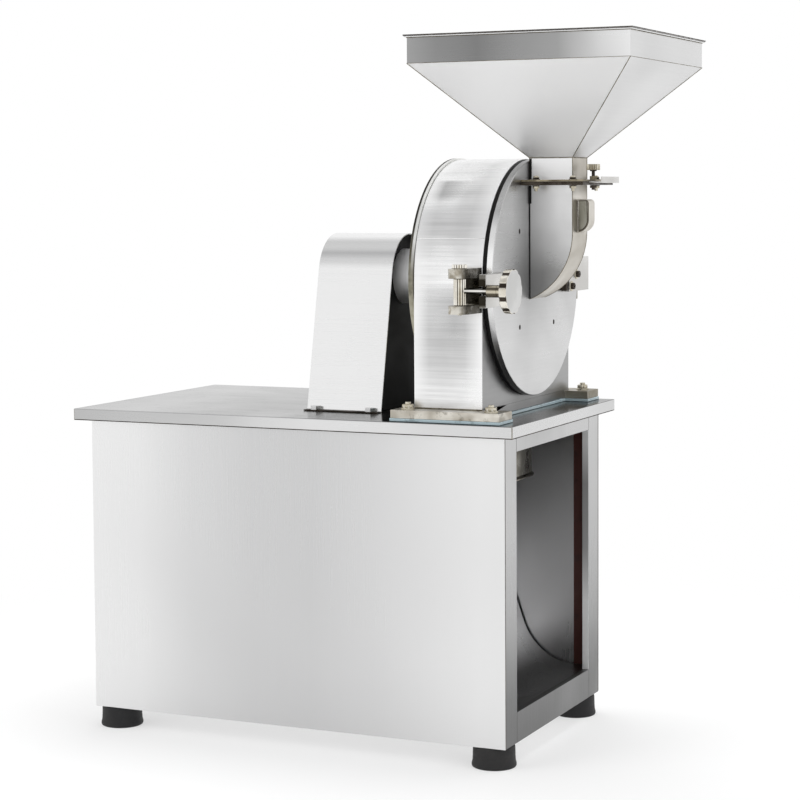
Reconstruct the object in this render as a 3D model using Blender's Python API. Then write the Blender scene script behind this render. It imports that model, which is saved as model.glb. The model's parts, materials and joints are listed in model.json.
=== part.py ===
"""Powder grinding machine: a toothed-disc mill with a square hopper, standing on a sheet-steel cabinet.

Blender 4.5, metres, +Z up. X runs along the cabinet and the spindle, with the hinged door of the grinding
chamber at +X. Y runs across it, with the long front panel at -Y. The floor is Z = 0. Everything is placed
from the middle of the cabinet, and the empty called machine moves it so that the whole object is centred.
"""

import math

import bmesh
import bpy
from mathutils import Matrix, Vector

for item in list(bpy.data.objects):
    bpy.data.objects.remove(item, do_unlink=True)

# General
GAP = 0.0003  # left between two pieces that touch
LONG = 0.02  # how far a cutter runs past the wall it cuts
sheet = 0.002

# Cabinet
foot_height = 0.038
foot_radius = 0.0387
foot_neck_radius = 0.0365
foot_rim = 0.006
foot_inset = 0.0347
cabinet_length = 0.814
cabinet_width = 0.472
table_height = 0.591
table_overhang = 0.0235
table_flange = 0.020
table_sheet = 0.003
angle_leg = 0.045
angle_thickness = 0.005
bay_post = 0.055
bay_rail = 0.053
bay_header = 0.0477
surround_lip = 0.013
liner_top_x = 0.112
liner_toe_x = 0.362
liner_radius = 0.110
louvre_rows = 4
louvre_columns = 2
louvre_length = 0.130
louvre_pitch = 0.032
louvre_rise = 0.012
louvre_depth = 0.009
louvre_low = 0.150

# Grinding chamber
spindle_lift = 0.238
chamber_back = 0.230
chamber_front = 0.357
chamber_radius = 0.210
chamber_wall = 0.008
chamber_mouth_radius = 0.178
back_plate_radius = 0.2186
back_plate_thickness = 0.012
base_thickness = 0.012
pad_thickness = 0.007
pad_margin = 0.0015
foot_bar_low_x = 0.202
foot_bar_high_x = 0.402
foot_bar_inner_y = 0.189
foot_bar_outer_y = 0.248
foot_bolt_inset = 0.023
screen_radius = 0.160
screen_wall = 0.003
screen_bars = 20
screen_rim = 0.010
screen_seat_depth = 0.010

# Discharge spout under the table
spout_x = 0.294
spout_half_x = 0.050
spout_half_y = 0.095
spout_drop = 0.111
spout_flange = 0.014
spout_lip = 0.004

# Toothed discs
rotor_radius = 0.142
rotor_face = 0.262
rotor_thickness = 0.012
rotor_hub_radius = 0.034
rotor_tooth_tip = 0.316
rotor_tooth_rings = ((0.055, 7), (0.105, 12))
stator_radius = 0.150
stator_thickness = 0.015
stator_tooth_tip = 0.290
stator_tooth_rings = ((0.080, 9), (0.130, 14))
tooth_size = 0.010
feed_hole_radius = 0.033
stator_screw_circle = 0.118
stator_screw_radius = 0.0042

# Door and its chute
door_radius = 0.209
door_thickness = 0.0142
gasket_thickness = 0.0037
gasket_outer_radius = 0.205
gasket_inner_radius = 0.182
chute_depth = 0.080
chute_width = 0.074
chute_wall = 0.0025
chute_bend_lift = 0.080
chute_bend_radius = 0.125
flange_lift = 0.163
flange_sheet = 0.003
flange_half_y = 0.078
flange_length = 0.114
gate_thickness = 0.0026
gate_half_y = 0.0445
gate_reach = 0.023
gate_lip_height = 0.011
gate_travel = 0.076
flange_bolt_radius = 0.003
flange_bolt_near_x = 0.021
flange_bolt_far_x = 0.089
flange_bolt_y = 0.060
clamp_screw_x = 0.105
clamp_screw_radius = 0.003
clamp_head_radius = 0.012
clamp_head_height = 0.0105
clamp_head_lift = 0.0165
clamp_nut_radius = 0.0065
clamp_nut_height = 0.006
trap_depth = 0.022
trap_width = 0.030
trap_height = 0.058
trap_corner = 0.007
trap_recess = 0.003

# Hopper
hopper_rim = 0.412
hopper_band = 0.049
hopper_lip = 0.0055
hopper_neck = 0.0385
hopper_slope = 0.161
hopper_sheet = 0.002

# Hinge at the +Y side
hinge_x = 0.352
hinge_y = 0.238
hinge_pin_radius = 0.006
knuckle_radius = 0.012
arm_thickness = 0.012
arm_inner_y = 0.131
arm_outer_y = 0.234
arm_half_height = 0.031
arm_screw_radius = 0.0033
arm_head_radius = 0.0056
arm_head_height = 0.006
arm_screws = ((0.142, -0.021), (0.142, 0.021), (0.169, 0))
ear_thickness = 0.018
hinge_plate_thickness = 0.010
hinge_plate_low_x = 0.300
hinge_plate_margin = 0.008
pin_head_height = 0.006
running_gap = 0.00035

# Latch at the -Y side
latch_x = 0.337
latch_y = 0.260
latch_drop = 0.0125
latch_pin_radius = 0.005
latch_head_radius = 0.013
latch_head_height = 0.007
latch_barrel_radius = 0.0105
latch_barrel_height = 0.045
latch_lug_radius = 0.0195
latch_lug_height = 0.0165
latch_low_lug_height = 0.0142
latch_plate_thickness = 0.012
latch_plate_inner_y = 0.165
latch_plate_outer_y = 0.2695
latch_plate_height = 0.056
latch_slot_height = 0.016
latch_slot_end = 0.250
rod_radius = 0.00475
rod_bore_clearance = 0.0006
rod_bore_depth = 0.0035
hub_radius = 0.0105
hub_length = 0.0335
knob_radius = 0.0375
knob_thickness = 0.013
knob_flutes = 10
knob_flute_radius = 0.009
knob_flute_depth = 0.0026

# Spindle, its bearings and the belt drive
drive_x = 0.055
belts = 2
belt_pitch = 0.020
belt_top = 0.017
belt_height = 0.011
belt_angle = math.radians(19)
belt_band = 0.003
belt_lift = 0.0012
groove_depth = 0.0135
pulley_edge = 0.0115
spindle_pulley_radius = 0.062
motor_pulley_radius = 0.095
motor_height = 0.215
spindle_radius = 0.022
spindle_end_radius = 0.0175
spindle_low_x = 0.006
housing_radius = 0.050
housing_low_x = 0.104
housing_wall = 0.010
housing_flange_radius = 0.078
housing_flange = 0.012
cap_thickness = 0.008
bearing_width = 0.020
bearing_inset = 0.006
nut_radius = 0.026
nut_width = 0.012
bearing_bolt_circle = 0.066
bearing_bolt_radius = 0.004
bearing_bolts = 4

# Motor
motor_low_x = -0.330
motor_high_x = -0.050
motor_radius = 0.112
motor_fin_depth = 0.012
motor_fins = 16
motor_shaft_radius = 0.019
shield_length = 0.030
motor_foot_half_y = 0.108
motor_web_half_y = 0.070
motor_foot_thickness = 0.014
motor_foot_length = 0.045
motor_foot_inset = 0.055
rail_width = 0.045
cowl_length = 0.060
cowl_lap = 0.018
cowl_slots = 8
cowl_slot = 0.008
cowl_eye = 0.030
fan_radius = 0.090
fan_blades = 6
box_length = 0.110
box_width = 0.105
box_height = 0.052

# Belt guard
guard_low_x = -0.019
guard_high_x = 0.128
guard_radius = 0.078
guard_base_half = 0.128
guard_foot = 0.015
guard_recess = 0.013
belt_slot_margin = 0.020

# Hexagon bolts
hex_head_radius = 0.0098
hex_head_height = 0.0064

# Sizes that follow from the ones above
cab_x = cabinet_length / 2
cab_y = cabinet_width / 2
table_x = cab_x + table_overhang
table_y = cab_y + table_overhang
wall_top = table_height - table_sheet - GAP
bay_sill = foot_height + bay_rail
bay_head = wall_top - bay_header
spout_bottom = table_height - spout_drop
spindle_height = table_height + spindle_lift
chute_bend_height = spindle_height + chute_bend_lift
flange_height = spindle_height + flange_lift
latch_height = spindle_height - latch_drop
arm_low = spindle_height - arm_half_height
arm_high = spindle_height + arm_half_height
frame_x = cab_x - sheet - GAP
frame_y = cab_y - sheet - GAP
frame_low = foot_height + sheet + GAP
bay_y = cab_y - bay_post
pad_low = table_height + GAP
base_low = pad_low + pad_thickness + GAP
base_top = base_low + base_thickness
door_back = chamber_front + gasket_thickness + 2 * GAP
door_face = door_back + door_thickness
stator_face = door_back - GAP - stator_thickness
chute_back = door_face + GAP
chute_front = chute_back + chute_depth
chute_x = chute_back + chute_depth / 2
flange_low_x = chute_back
flange_high_x = flange_low_x + flange_length
gate_floor = flange_height + flange_sheet + GAP
upper_flange = gate_floor + gate_thickness + 2 * GAP
upper_top = upper_flange + flange_sheet
hopper_base_height = upper_top + hopper_neck
total_height = hopper_base_height + hopper_slope + hopper_band
groove_reach = belt_pitch * (belts - 1) / 2
pulley_half = groove_reach + pulley_edge
motor_foot_low = frame_low + angle_thickness + GAP
rail_top = motor_height - motor_radius - motor_foot_thickness - GAP
back_plate_x = chamber_back - GAP - back_plate_thickness
housing_high_x = back_plate_x - GAP
guard_plate_x = guard_high_x - guard_recess
latch_low = latch_height - latch_barrel_height * 0.55
latch_high = latch_low + latch_barrel_height
knob_low_x = door_face + GAP + latch_plate_thickness + GAP
knob_high_x = knob_low_x + hub_length + knob_thickness
centre_x = (hopper_rim / 2 + chute_x - table_x) / 2
centre_y = (table_y - latch_y - knob_radius) / 2


# Tools for the shapes

def material(name, color, roughness, metallic):
    look = bpy.data.materials.new(name)
    look.use_nodes = True
    shader = look.node_tree.nodes["Principled BSDF"]
    shader.inputs["Base Color"].default_value = (*color, 1)
    shader.inputs["Roughness"].default_value = roughness
    shader.inputs["Metallic"].default_value = metallic
    look.diffuse_color = (*color, 1)
    return look


def empty(name, place, parent=None):
    """An empty at a place given in the machine's frame."""
    marker = bpy.data.objects.new(name, None)
    bpy.context.scene.collection.objects.link(marker)
    marker["place"] = place
    start = Vector(parent["place"]) if parent else Vector((0, 0, 0))
    marker.location = Vector(place) - start
    marker.parent = parent
    return marker


def link(name, bm, parent, pivot):
    """Turns a bmesh built in the machine's frame into an object whose origin is at its pivot."""
    bmesh.ops.recalc_face_normals(bm, faces=bm.faces)
    bmesh.ops.translate(bm, vec=-Vector(pivot), verts=bm.verts)
    mesh = bpy.data.meshes.new(name)
    bm.to_mesh(mesh)
    bm.free()
    made = bpy.data.objects.new(name, mesh)
    bpy.context.scene.collection.objects.link(made)
    made.parent = parent
    made.location = Vector(pivot) - Vector(parent["place"])
    return made


def solid(name, bm, look, parent=None, pivot=None):
    """A named piece of the machine, shaded smooth except at its sharp edges."""
    parent = parent or machine
    made = link(name, bm, parent, pivot or parent["place"])
    made.data.materials.append(look)
    made.data.shade_smooth()
    made.data.set_sharp_from_angle(angle=math.radians(35))
    return made


def copy(source, name, place):
    """The same piece again at another place in the machine's frame."""
    made = bpy.data.objects.new(name, source.data)
    bpy.context.scene.collection.objects.link(made)
    made.parent = source.parent
    made.location = Vector(place) - Vector(source.parent["place"])
    return made


def boolean(target, bm, operation):
    """Cuts a bmesh out of a piece, or joins it on, with a hidden tool object."""
    name = f"{target.name}_{operation.lower()}_{len(target.modifiers)}"
    tool = link(name, bm, machine, (0, 0, 0))
    tool.hide_render = True
    tool.display_type = "WIRE"
    step = target.modifiers.new(operation.title(), "BOOLEAN")
    step.operation = operation
    step.solver = "EXACT"
    step.object = tool


def cut(target, bm):
    boolean(target, bm, "DIFFERENCE")


def join(target, bm):
    boolean(target, bm, "UNION")


def bevel(target, width, segments=1):
    step = target.modifiers.new("Bevel", "BEVEL")
    step.width = width
    step.segments = segments
    step.limit_method = "ANGLE"
    step.angle_limit = math.radians(50)


def solidify(target, thickness):
    step = target.modifiers.new("Sheet", "SOLIDIFY")
    step.thickness = thickness
    step.offset = 0
    step.use_even_offset = True


def block(bm, x, y, z):
    """A box between its low and high limits on each axis."""
    made = bmesh.ops.create_cube(bm, size=1)["verts"]
    bmesh.ops.scale(bm, vec=(x[1] - x[0], y[1] - y[0], z[1] - z[0]), verts=made)
    bmesh.ops.translate(bm, vec=((x[0] + x[1]) / 2, (y[0] + y[1]) / 2, (z[0] + z[1]) / 2), verts=made)
    return made


def prism(bm, outline, low, high, axis):
    """An outline of (a, b) points, taken in axis order, extruded from low to high along the third axis."""
    index = "XYZ".index(axis)
    corners = []
    for a, b in outline:
        point = [a, b]
        point.insert(index, low)
        corners.append(bm.verts.new(point))
    made = bmesh.ops.extrude_face_region(bm, geom=[bm.faces.new(corners)])["geom"]
    moved = [vert for vert in made if isinstance(vert, bmesh.types.BMVert)]
    step = Vector((0, 0, 0))
    step[index] = high - low
    bmesh.ops.translate(bm, vec=step, verts=moved)


def turned(bm, profile, centre, axis="X", segments=32):
    """A profile of (along, radius) points spun round an axis. It is closed unless it starts on the axis."""
    made = bmesh.new()
    points = [made.verts.new((along, 0, radius)) for along, radius in profile]
    pairs = list(zip(points, points[1:]))
    if profile[0][1] > 0:
        pairs.append((points[-1], points[0]))
    edges = [made.edges.new(pair) for pair in pairs]
    bmesh.ops.spin(made, geom=points + edges, axis=(1, 0, 0), angle=2 * math.pi, steps=segments, use_merge=True)
    bmesh.ops.remove_doubles(made, verts=made.verts, dist=1e-6)
    if axis != "X":
        turn = Matrix.Rotation(math.pi / 2, 3, "Z") if axis == "Y" else Matrix.Rotation(-math.pi / 2, 3, "Y")
        bmesh.ops.rotate(made, matrix=turn, verts=made.verts)
    bmesh.ops.translate(made, vec=centre, verts=made.verts)
    add(bm, made)


def add(bm, made):
    """Puts one finished bmesh into another."""
    mesh = bpy.data.meshes.new("part")
    made.to_mesh(mesh)
    made.free()
    bm.from_mesh(mesh)
    bpy.data.meshes.remove(mesh)


def blocks_round(bm, x, y, z, count, height, start=0):
    """Copies of one box set round an X axis at a height. Its y and z limits are those of the top one."""
    for number in range(count):
        made = block(bm, x, y, z)
        turn = Matrix.Rotation(start + number * 2 * math.pi / count, 3, "X")
        bmesh.ops.rotate(bm, matrix=turn, verts=made)
        bmesh.ops.translate(bm, vec=(0, 0, height), verts=made)


def rod(bm, radius, low, high, centre, axis="X", segments=24):
    """A plain cylinder from low to high along an axis. The centre's own value on that axis is not used."""
    start = list(centre)
    start["XYZ".index(axis)] = 0
    turned(bm, [(low, 0), (low, radius), (high, radius), (high, 0)], start, axis, segments)


def tube(bm, inner, outer, low, high, centre, axis="X", segments=32):
    """A plain ring from low to high along an axis."""
    start = list(centre)
    start["XYZ".index(axis)] = 0
    turned(bm, [(low, inner), (low, outer), (high, outer), (high, inner)], start, axis, segments)


def arc(centre, radius, start, end, steps):
    """Points on an arc, from one angle in degrees to another."""
    angles = [math.radians(start + (end - start) * step / steps) for step in range(steps + 1)]
    return [(centre[0] + radius * math.cos(angle), centre[1] + radius * math.sin(angle)) for angle in angles]


def rectangle(x, y, half_x, half_y):
    return [(x - half_x, y - half_y), (x + half_x, y - half_y), (x + half_x, y + half_y), (x - half_x, y + half_y)]


def obround(x, y, half_x, half_y, steps=8):
    """A slot outline with round ends along Y."""
    straight = half_y - half_x
    return arc((x, y + straight), half_x, 0, 180, steps) + arc((x, y - straight), half_x, 180, 360, steps)


def skin(bm, loops):
    """A closed skin over loops with equally many corners, each joined to the next and the last to the first."""
    rows = [[bm.verts.new(corner) for corner in loop] for loop in loops]
    for lower, upper in zip(rows, rows[1:] + rows[:1]):
        for number in range(len(lower)):
            after = (number + 1) % len(lower)
            bm.faces.new((lower[number], lower[after], upper[after], upper[number]))


def loft(bm, outlines):
    """A skin through level outlines, each (x, y) points and a height, up the outside and down the inside."""
    skin(bm, [[(x, y, height) for x, y in outline] for outline, height in outlines])


def arch(radius, floor, steps=32):
    """The chamber's outline in Y and Z: a half circle on two straight legs."""
    return arc((0, spindle_height), radius, 0, 180, steps) + [(-radius, floor), (radius, floor)]


# Materials
steel = material("satin_steel", (0.62, 0.62, 0.61), 0.32, 1.0)
table_steel = material("table_steel", (0.42, 0.42, 0.41), 0.28, 1.0)
brushed = material("brushed_steel", (0.66, 0.66, 0.65), 0.26, 1.0)
polished = material("polished_steel", (0.74, 0.72, 0.68), 0.12, 1.0)
hard_steel = material("tool_steel", (0.40, 0.39, 0.38), 0.36, 1.0)
iron = material("cast_iron", (0.20, 0.22, 0.23), 0.55, 0.6)
primer = material("primer_red", (0.13, 0.028, 0.020), 0.62, 0.0)
black = material("black_paint", (0.012, 0.012, 0.013), 0.50, 0.0)
rubber = material("black_rubber", (0.016, 0.016, 0.017), 0.72, 0.0)
gasket = material("gasket_rubber", (0.010, 0.010, 0.010), 0.60, 0.0)
teal = material("pad_rubber", (0.33, 0.52, 0.60), 0.45, 0.0)
motor_paint = material("motor_paint", (0.045, 0.085, 0.110), 0.40, 0.0)
zinc = material("zinc_bolt", (0.56, 0.53, 0.46), 0.30, 1.0)

# The joints' axes
machine = empty("machine", (0, 0, 0))
machine.location = (-centre_x, -centre_y, 0)
spindle_axis = empty("spindle_axis", (drive_x, 0, spindle_height), machine)
motor_axis = empty("motor_axis", (drive_x, 0, motor_height), machine)
door_axis = empty("door_axis", (hinge_x, hinge_y, spindle_height), machine)
gate_way = empty("gate_way", (chute_x, 0, gate_floor), door_axis)
clamp_axis = empty("clamp_axis", (flange_low_x + clamp_screw_x, 0, upper_top), door_axis)
knob_axis = empty("knob_axis", (knob_low_x, -latch_y, latch_height), door_axis)


def table_top():
    """A tray of folded sheet, turned down all round, with holes for the belts and for the powder."""
    bm = bmesh.new()
    block(bm, (-table_x, table_x), (-table_y, table_y), (table_height - table_flange, table_height))
    top = solid("table_top", bm, table_steel)
    bm = bmesh.new()
    inner_x = table_x - table_sheet
    inner_y = table_y - table_sheet
    block(bm, (-inner_x, inner_x), (-inner_y, inner_y), (table_height - LONG - table_flange,
                                                         table_height - table_sheet))
    cut(top, bm)
    bm = bmesh.new()
    powder = obround(spout_x, 0, spout_half_x, spout_half_y)
    prism(bm, powder, table_height - LONG, table_height + LONG, "Z")
    slot_y = guard_radius + belt_slot_margin
    block(bm, (drive_x - pulley_half, drive_x + pulley_half), (-slot_y, slot_y),
          (table_height - LONG, table_height + LONG))
    cut(top, bm)


def angle_frame():
    """A welded frame of angle iron along the cabinet's twelve edges, which the sheets are fixed to."""
    bm = bmesh.new()
    block(bm, (-frame_x, frame_x), (-frame_y, frame_y), (frame_low, wall_top))
    frame = solid("angle_frame", bm, primer)
    thin, wide = angle_thickness, angle_leg
    inner = (wide, wide, wide)
    for axis in range(3):
        margins = list(inner)
        margins[axis] = -LONG
        bm = bmesh.new()
        block(bm, (margins[0] - frame_x, frame_x - margins[0]), (margins[1] - frame_y, frame_y - margins[1]),
              (frame_low + margins[2], wall_top - margins[2]))
        cut(frame, bm)
    bm = bmesh.new()
    block(bm, (thin - frame_x, frame_x - thin), (thin - frame_y, frame_y - thin), (frame_low + thin, wall_top - thin))
    cut(frame, bm)


def cabinet_skins():
    """The long panels, the floor, and the motor end with its pressed louvres."""
    for name, side in (("front_panel", -1), ("rear_panel", 1)):
        bm = bmesh.new()
        faces = sorted((side * cab_y, side * (cab_y - sheet)))
        block(bm, (-cab_x, cab_x), faces, (foot_height, wall_top))
        solid(name, bm, steel)
    bm = bmesh.new()
    block(bm, (-frame_x, frame_x), (-frame_y, frame_y), (foot_height, foot_height + sheet))
    solid("cabinet_floor", bm, steel)
    bm = bmesh.new()
    block(bm, (-cab_x, sheet - cab_x), (-frame_y, frame_y), (foot_height, wall_top))
    end = solid("motor_end_panel", bm, steel)
    slots = bmesh.new()
    hoods = bmesh.new()
    face = -cab_x
    for row in range(louvre_rows):
        low = louvre_low + row * louvre_pitch
        high = low + louvre_rise
        hood = [(face + sheet / 2, high), (face - louvre_depth, low), (face - louvre_depth + sheet, low),
                (face + sheet / 2, high - sheet)]
        for column in range(louvre_columns):
            middle = (column - (louvre_columns - 1) / 2) * louvre_length * 1.3
            sides = (middle - louvre_length / 2, middle + louvre_length / 2)
            prism(hoods, hood, *sides, "Y")
            block(slots, (face - LONG, face + LONG), (sides[0] + sheet, sides[1] - sheet), (low, high - 2 * sheet))
    cut(end, slots)
    join(end, hoods)


def end_surround():
    """The stainless frame round the open bay, with its edge folded in."""
    bm = bmesh.new()
    block(bm, (cab_x - sheet, cab_x), (-frame_y, frame_y), (foot_height, wall_top))
    surround = solid("end_surround", bm, steel)
    bm = bmesh.new()
    block(bm, (cab_x - surround_lip, cab_x - sheet / 2), (-bay_y - sheet, bay_y + sheet),
          (bay_sill - sheet, bay_head + sheet))
    join(surround, bm)
    bm = bmesh.new()
    block(bm, (cab_x - LONG, cab_x + LONG), (-bay_y, bay_y), (bay_sill, bay_head))
    cut(surround, bm)


def bay_liner():
    """A sheet that parts the motor from the bay: it leans down and curves into the bay's floor."""
    floor = bay_sill - 1.5 * sheet - GAP
    centre = Vector((liner_toe_x, floor + liner_radius))
    top = Vector((liner_top_x, wall_top - angle_thickness - sheet))
    away = top - centre
    touch = math.degrees(math.atan2(away.y, away.x) + math.acos(liner_radius / away.length))
    path = [tuple(top)] + arc(centre, liner_radius, touch, 270, 10)
    path.append((frame_x - angle_thickness - GAP, floor))
    bm = bmesh.new()
    half = frame_y - angle_thickness - GAP
    points = [bm.verts.new((x, -half, z)) for x, z in path]
    edges = [bm.edges.new(pair) for pair in zip(points, points[1:])]
    made = bmesh.ops.extrude_edge_only(bm, edges=edges)["geom"]
    moved = [vert for vert in made if isinstance(vert, bmesh.types.BMVert)]
    bmesh.ops.translate(bm, vec=(0, 2 * half, 0), verts=moved)
    liner = solid("bay_liner", bm, steel)
    solidify(liner, sheet)


def rubber_feet():
    """Four round feet, wider where they stand."""
    bm = bmesh.new()
    top = foot_height - GAP
    reach_x, reach_y = cab_x - foot_inset, cab_y - foot_inset
    place = (reach_x, -reach_y, 0)
    turned(bm, [(0, 0), (0, foot_radius), (foot_rim, foot_radius), (2 * foot_rim, foot_neck_radius),
                (top, foot_neck_radius), (top, 0)], place, "Z", 20)
    foot = solid("foot_front_right", bm, rubber, machine, place)
    copy(foot, "foot_front_left", (-reach_x, -reach_y, 0))
    copy(foot, "foot_rear_right", (reach_x, reach_y, 0))
    copy(foot, "foot_rear_left", (-reach_x, reach_y, 0))


def discharge_spout():
    """A slot-shaped duct under the table, flanged above and rolled below for the cloth bag's tie."""
    bm = bmesh.new()

    def ring(margin):
        return obround(spout_x, 0, spout_half_x + margin, spout_half_y + margin, 6)

    loft(bm, [(ring(spout_lip), spout_bottom), (ring(spout_lip), spout_bottom + sheet),
              (ring(0), spout_bottom + sheet + spout_lip), (ring(0), wall_top - sheet),
              (ring(spout_flange), wall_top - sheet), (ring(spout_flange), wall_top), (ring(-sheet), wall_top),
              (ring(-sheet), spout_bottom)])
    solid("discharge_spout", bm, brushed)


def chamber():
    """The arched shell with its round mouth, the back plate, the base, the pad and the screen."""
    centre = (0, 0, spindle_height)
    floor = base_top + GAP
    bm = bmesh.new()
    prism(bm, arch(chamber_radius, floor), chamber_back, chamber_front, "X")
    shell = solid("chamber_shell", bm, brushed)
    bm = bmesh.new()
    prism(bm, arch(chamber_radius - chamber_wall, floor - LONG), chamber_back - LONG,
          chamber_front - chamber_wall, "X")
    cut(shell, bm)
    bm = bmesh.new()
    rod(bm, chamber_mouth_radius, chamber_front - chamber_wall - LONG / 2, chamber_front + LONG, centre, "X", 48)
    cut(shell, bm)

    side = math.degrees(math.acos(chamber_radius / back_plate_radius))
    outline = arc((0, spindle_height), back_plate_radius, -side, 180 + side, 36)
    outline += [(-chamber_radius, floor), (chamber_radius, floor)]
    bm = bmesh.new()
    prism(bm, outline, back_plate_x, chamber_back - GAP, "X")
    plate = solid("chamber_back_plate", bm, hard_steel)
    bm = bmesh.new()
    seat = screen_radius - screen_wall - GAP
    tube(bm, seat - chamber_wall, seat, chamber_back - sheet, chamber_back + screen_seat_depth, centre, "X",
         screen_bars * 2)
    join(plate, bm)
    bm = bmesh.new()
    rod(bm, spindle_radius + running_gap, back_plate_x - LONG, chamber_back + LONG, centre)
    cut(plate, bm)

    def base_outline(margin):
        bar_low, bar_high = foot_bar_low_x - margin, foot_bar_high_x + margin
        mid_low, mid_high = back_plate_x - margin, chamber_front + margin
        inner, outer = foot_bar_inner_y - margin, foot_bar_outer_y + margin
        half = [(bar_low, outer), (bar_low, inner), (mid_low, inner)]
        other = [(mid_high, inner), (bar_high, inner), (bar_high, outer)]
        lower = [(x, -y) for x, y in half]
        lower_other = [(x, -y) for x, y in other]
        return half + lower[::-1] + lower_other[::-1] + other

    for name, look, margin, low, high in (("chamber_base", brushed, 0, base_low, base_top),
                                          ("base_pad", teal, pad_margin, pad_low, pad_low + pad_thickness)):
        bm = bmesh.new()
        prism(bm, base_outline(margin), low, high, "Z")
        plate = solid(name, bm, look)
        bm = bmesh.new()
        prism(bm, obround(spout_x, 0, spout_half_x, spout_half_y), low - LONG, high + LONG, "Z")
        cut(plate, bm)
        if margin == 0:
            join(plate, hex_heads(foot_bolt_places(), base_top))

    bm = bmesh.new()
    low, high = chamber_back + GAP, stator_face - 2 * GAP
    inner = screen_radius - screen_wall
    for near, far in ((low, low + screen_rim), (high - screen_rim, high)):
        tube(bm, inner, screen_radius, near, far, centre, "X", screen_bars * 2)
    screen = solid("screen_ring", bm, hard_steel)
    bm = bmesh.new()
    width = math.pi * inner / screen_bars / 2
    blocks_round(bm, (low + screen_rim / 2, high - screen_rim / 2), (-width / 2, width / 2),
                 (inner + sheet / 4, screen_radius - sheet / 4), screen_bars, spindle_height, math.pi / screen_bars)
    join(screen, bm)


def foot_bolt_places():
    """Where the chamber's base is bolted down."""
    middle = (foot_bar_inner_y + foot_bar_outer_y) / 2 + pad_thickness
    return [(x, side * middle) for x in (foot_bar_low_x + foot_bolt_inset, foot_bar_high_x - foot_bolt_inset)
            for side in (-1, 1)]


def toothed_disc(bm, rings, root, tip):
    """Square teeth in rings, from root to tip along the spindle."""
    half = tooth_size / 2
    for radius, count in rings:
        blocks_round(bm, sorted((root, tip)), (-half, half), (radius - half, radius + half), count, spindle_height)


def ring_places(circle, count, start=45):
    """Y and Z of places on a circle about the spindle."""
    angles = [math.radians(start + number * 360 / count) for number in range(count)]
    return [(circle * math.cos(angle), spindle_height + circle * math.sin(angle)) for angle in angles]


def bars(bm, radius, low, high, places, segments=12):
    """Round bars along X at places given in Y and Z."""
    for y, z in places:
        rod(bm, radius, low, high, (0, y, z), "X", segments)


def hex_heads(places, floor):
    """Hexagon bolt heads standing on a level face, sunk a little into it."""
    bm = bmesh.new()
    for x, y in places:
        rod(bm, hex_head_radius, floor - sheet / 2, floor + hex_head_height, (x, y, 0), "Z", 6)
    return bm


def grinding_discs():
    """The turning toothed disc on the spindle and the fixed one on the door, with interleaved rings of teeth."""
    bm = bmesh.new()
    face = rotor_face
    back = face - rotor_thickness
    hub_back = chamber_back + screen_seat_depth
    bore = spindle_end_radius + GAP
    turned(bm, [(hub_back, bore), (hub_back, rotor_hub_radius), (back, rotor_hub_radius), (back, rotor_radius),
                (face, rotor_radius), (face, bore)], (0, 0, spindle_height), "X", 36)
    moving = solid("rotor_disc", bm, hard_steel, spindle_axis)
    bm = bmesh.new()
    toothed_disc(bm, rotor_tooth_rings, face - sheet, rotor_tooth_tip)
    join(moving, bm)

    bm = bmesh.new()
    tube(bm, feed_hole_radius, stator_radius, stator_face, door_back - GAP, (0, 0, spindle_height), "X", 36)
    fixed = solid("stator_disc", bm, hard_steel, door_axis)
    bm = bmesh.new()
    toothed_disc(bm, stator_tooth_rings, stator_face + sheet, stator_tooth_tip)
    join(fixed, bm)
    bm = bmesh.new()
    bars(bm, stator_screw_radius, stator_face + chamber_wall, door_face - sheet, ring_places(stator_screw_circle, 4))
    join(fixed, bm)


def door():
    """The round door, its gasket and the screws that hold the fixed toothed disc."""
    centre = (0, 0, spindle_height)
    bm = bmesh.new()
    edge = sheet / 2
    turned(bm, [(door_back, feed_hole_radius), (door_back, door_radius),
                (door_face - edge, door_radius), (door_face, door_radius - edge), (door_face, feed_hole_radius)],
           centre, "X", 64)
    disc = solid("door_disc", bm, brushed, door_axis)
    bm = bmesh.new()
    bars(bm, stator_screw_radius + GAP, door_back - LONG, door_face + LONG, ring_places(stator_screw_circle, 4))
    cut(disc, bm)
    bm = bmesh.new()
    tube(bm, gasket_inner_radius, gasket_outer_radius, chamber_front + GAP, door_back - GAP, centre, "X", 48)
    solid("door_gasket", bm, gasket, door_axis)


def chute_outline(wall, top):
    """The chute's side view: straight down in front, then bent back to the door."""
    centre = (chute_front - chute_bend_radius, chute_bend_height)
    radius = chute_bend_radius - wall
    back = chute_back + wall
    end = math.degrees(math.acos((back - centre[0]) / radius))
    return [(back, top), (chute_front - wall, top)] + arc(centre, radius, 0, -end, 9)


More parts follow.
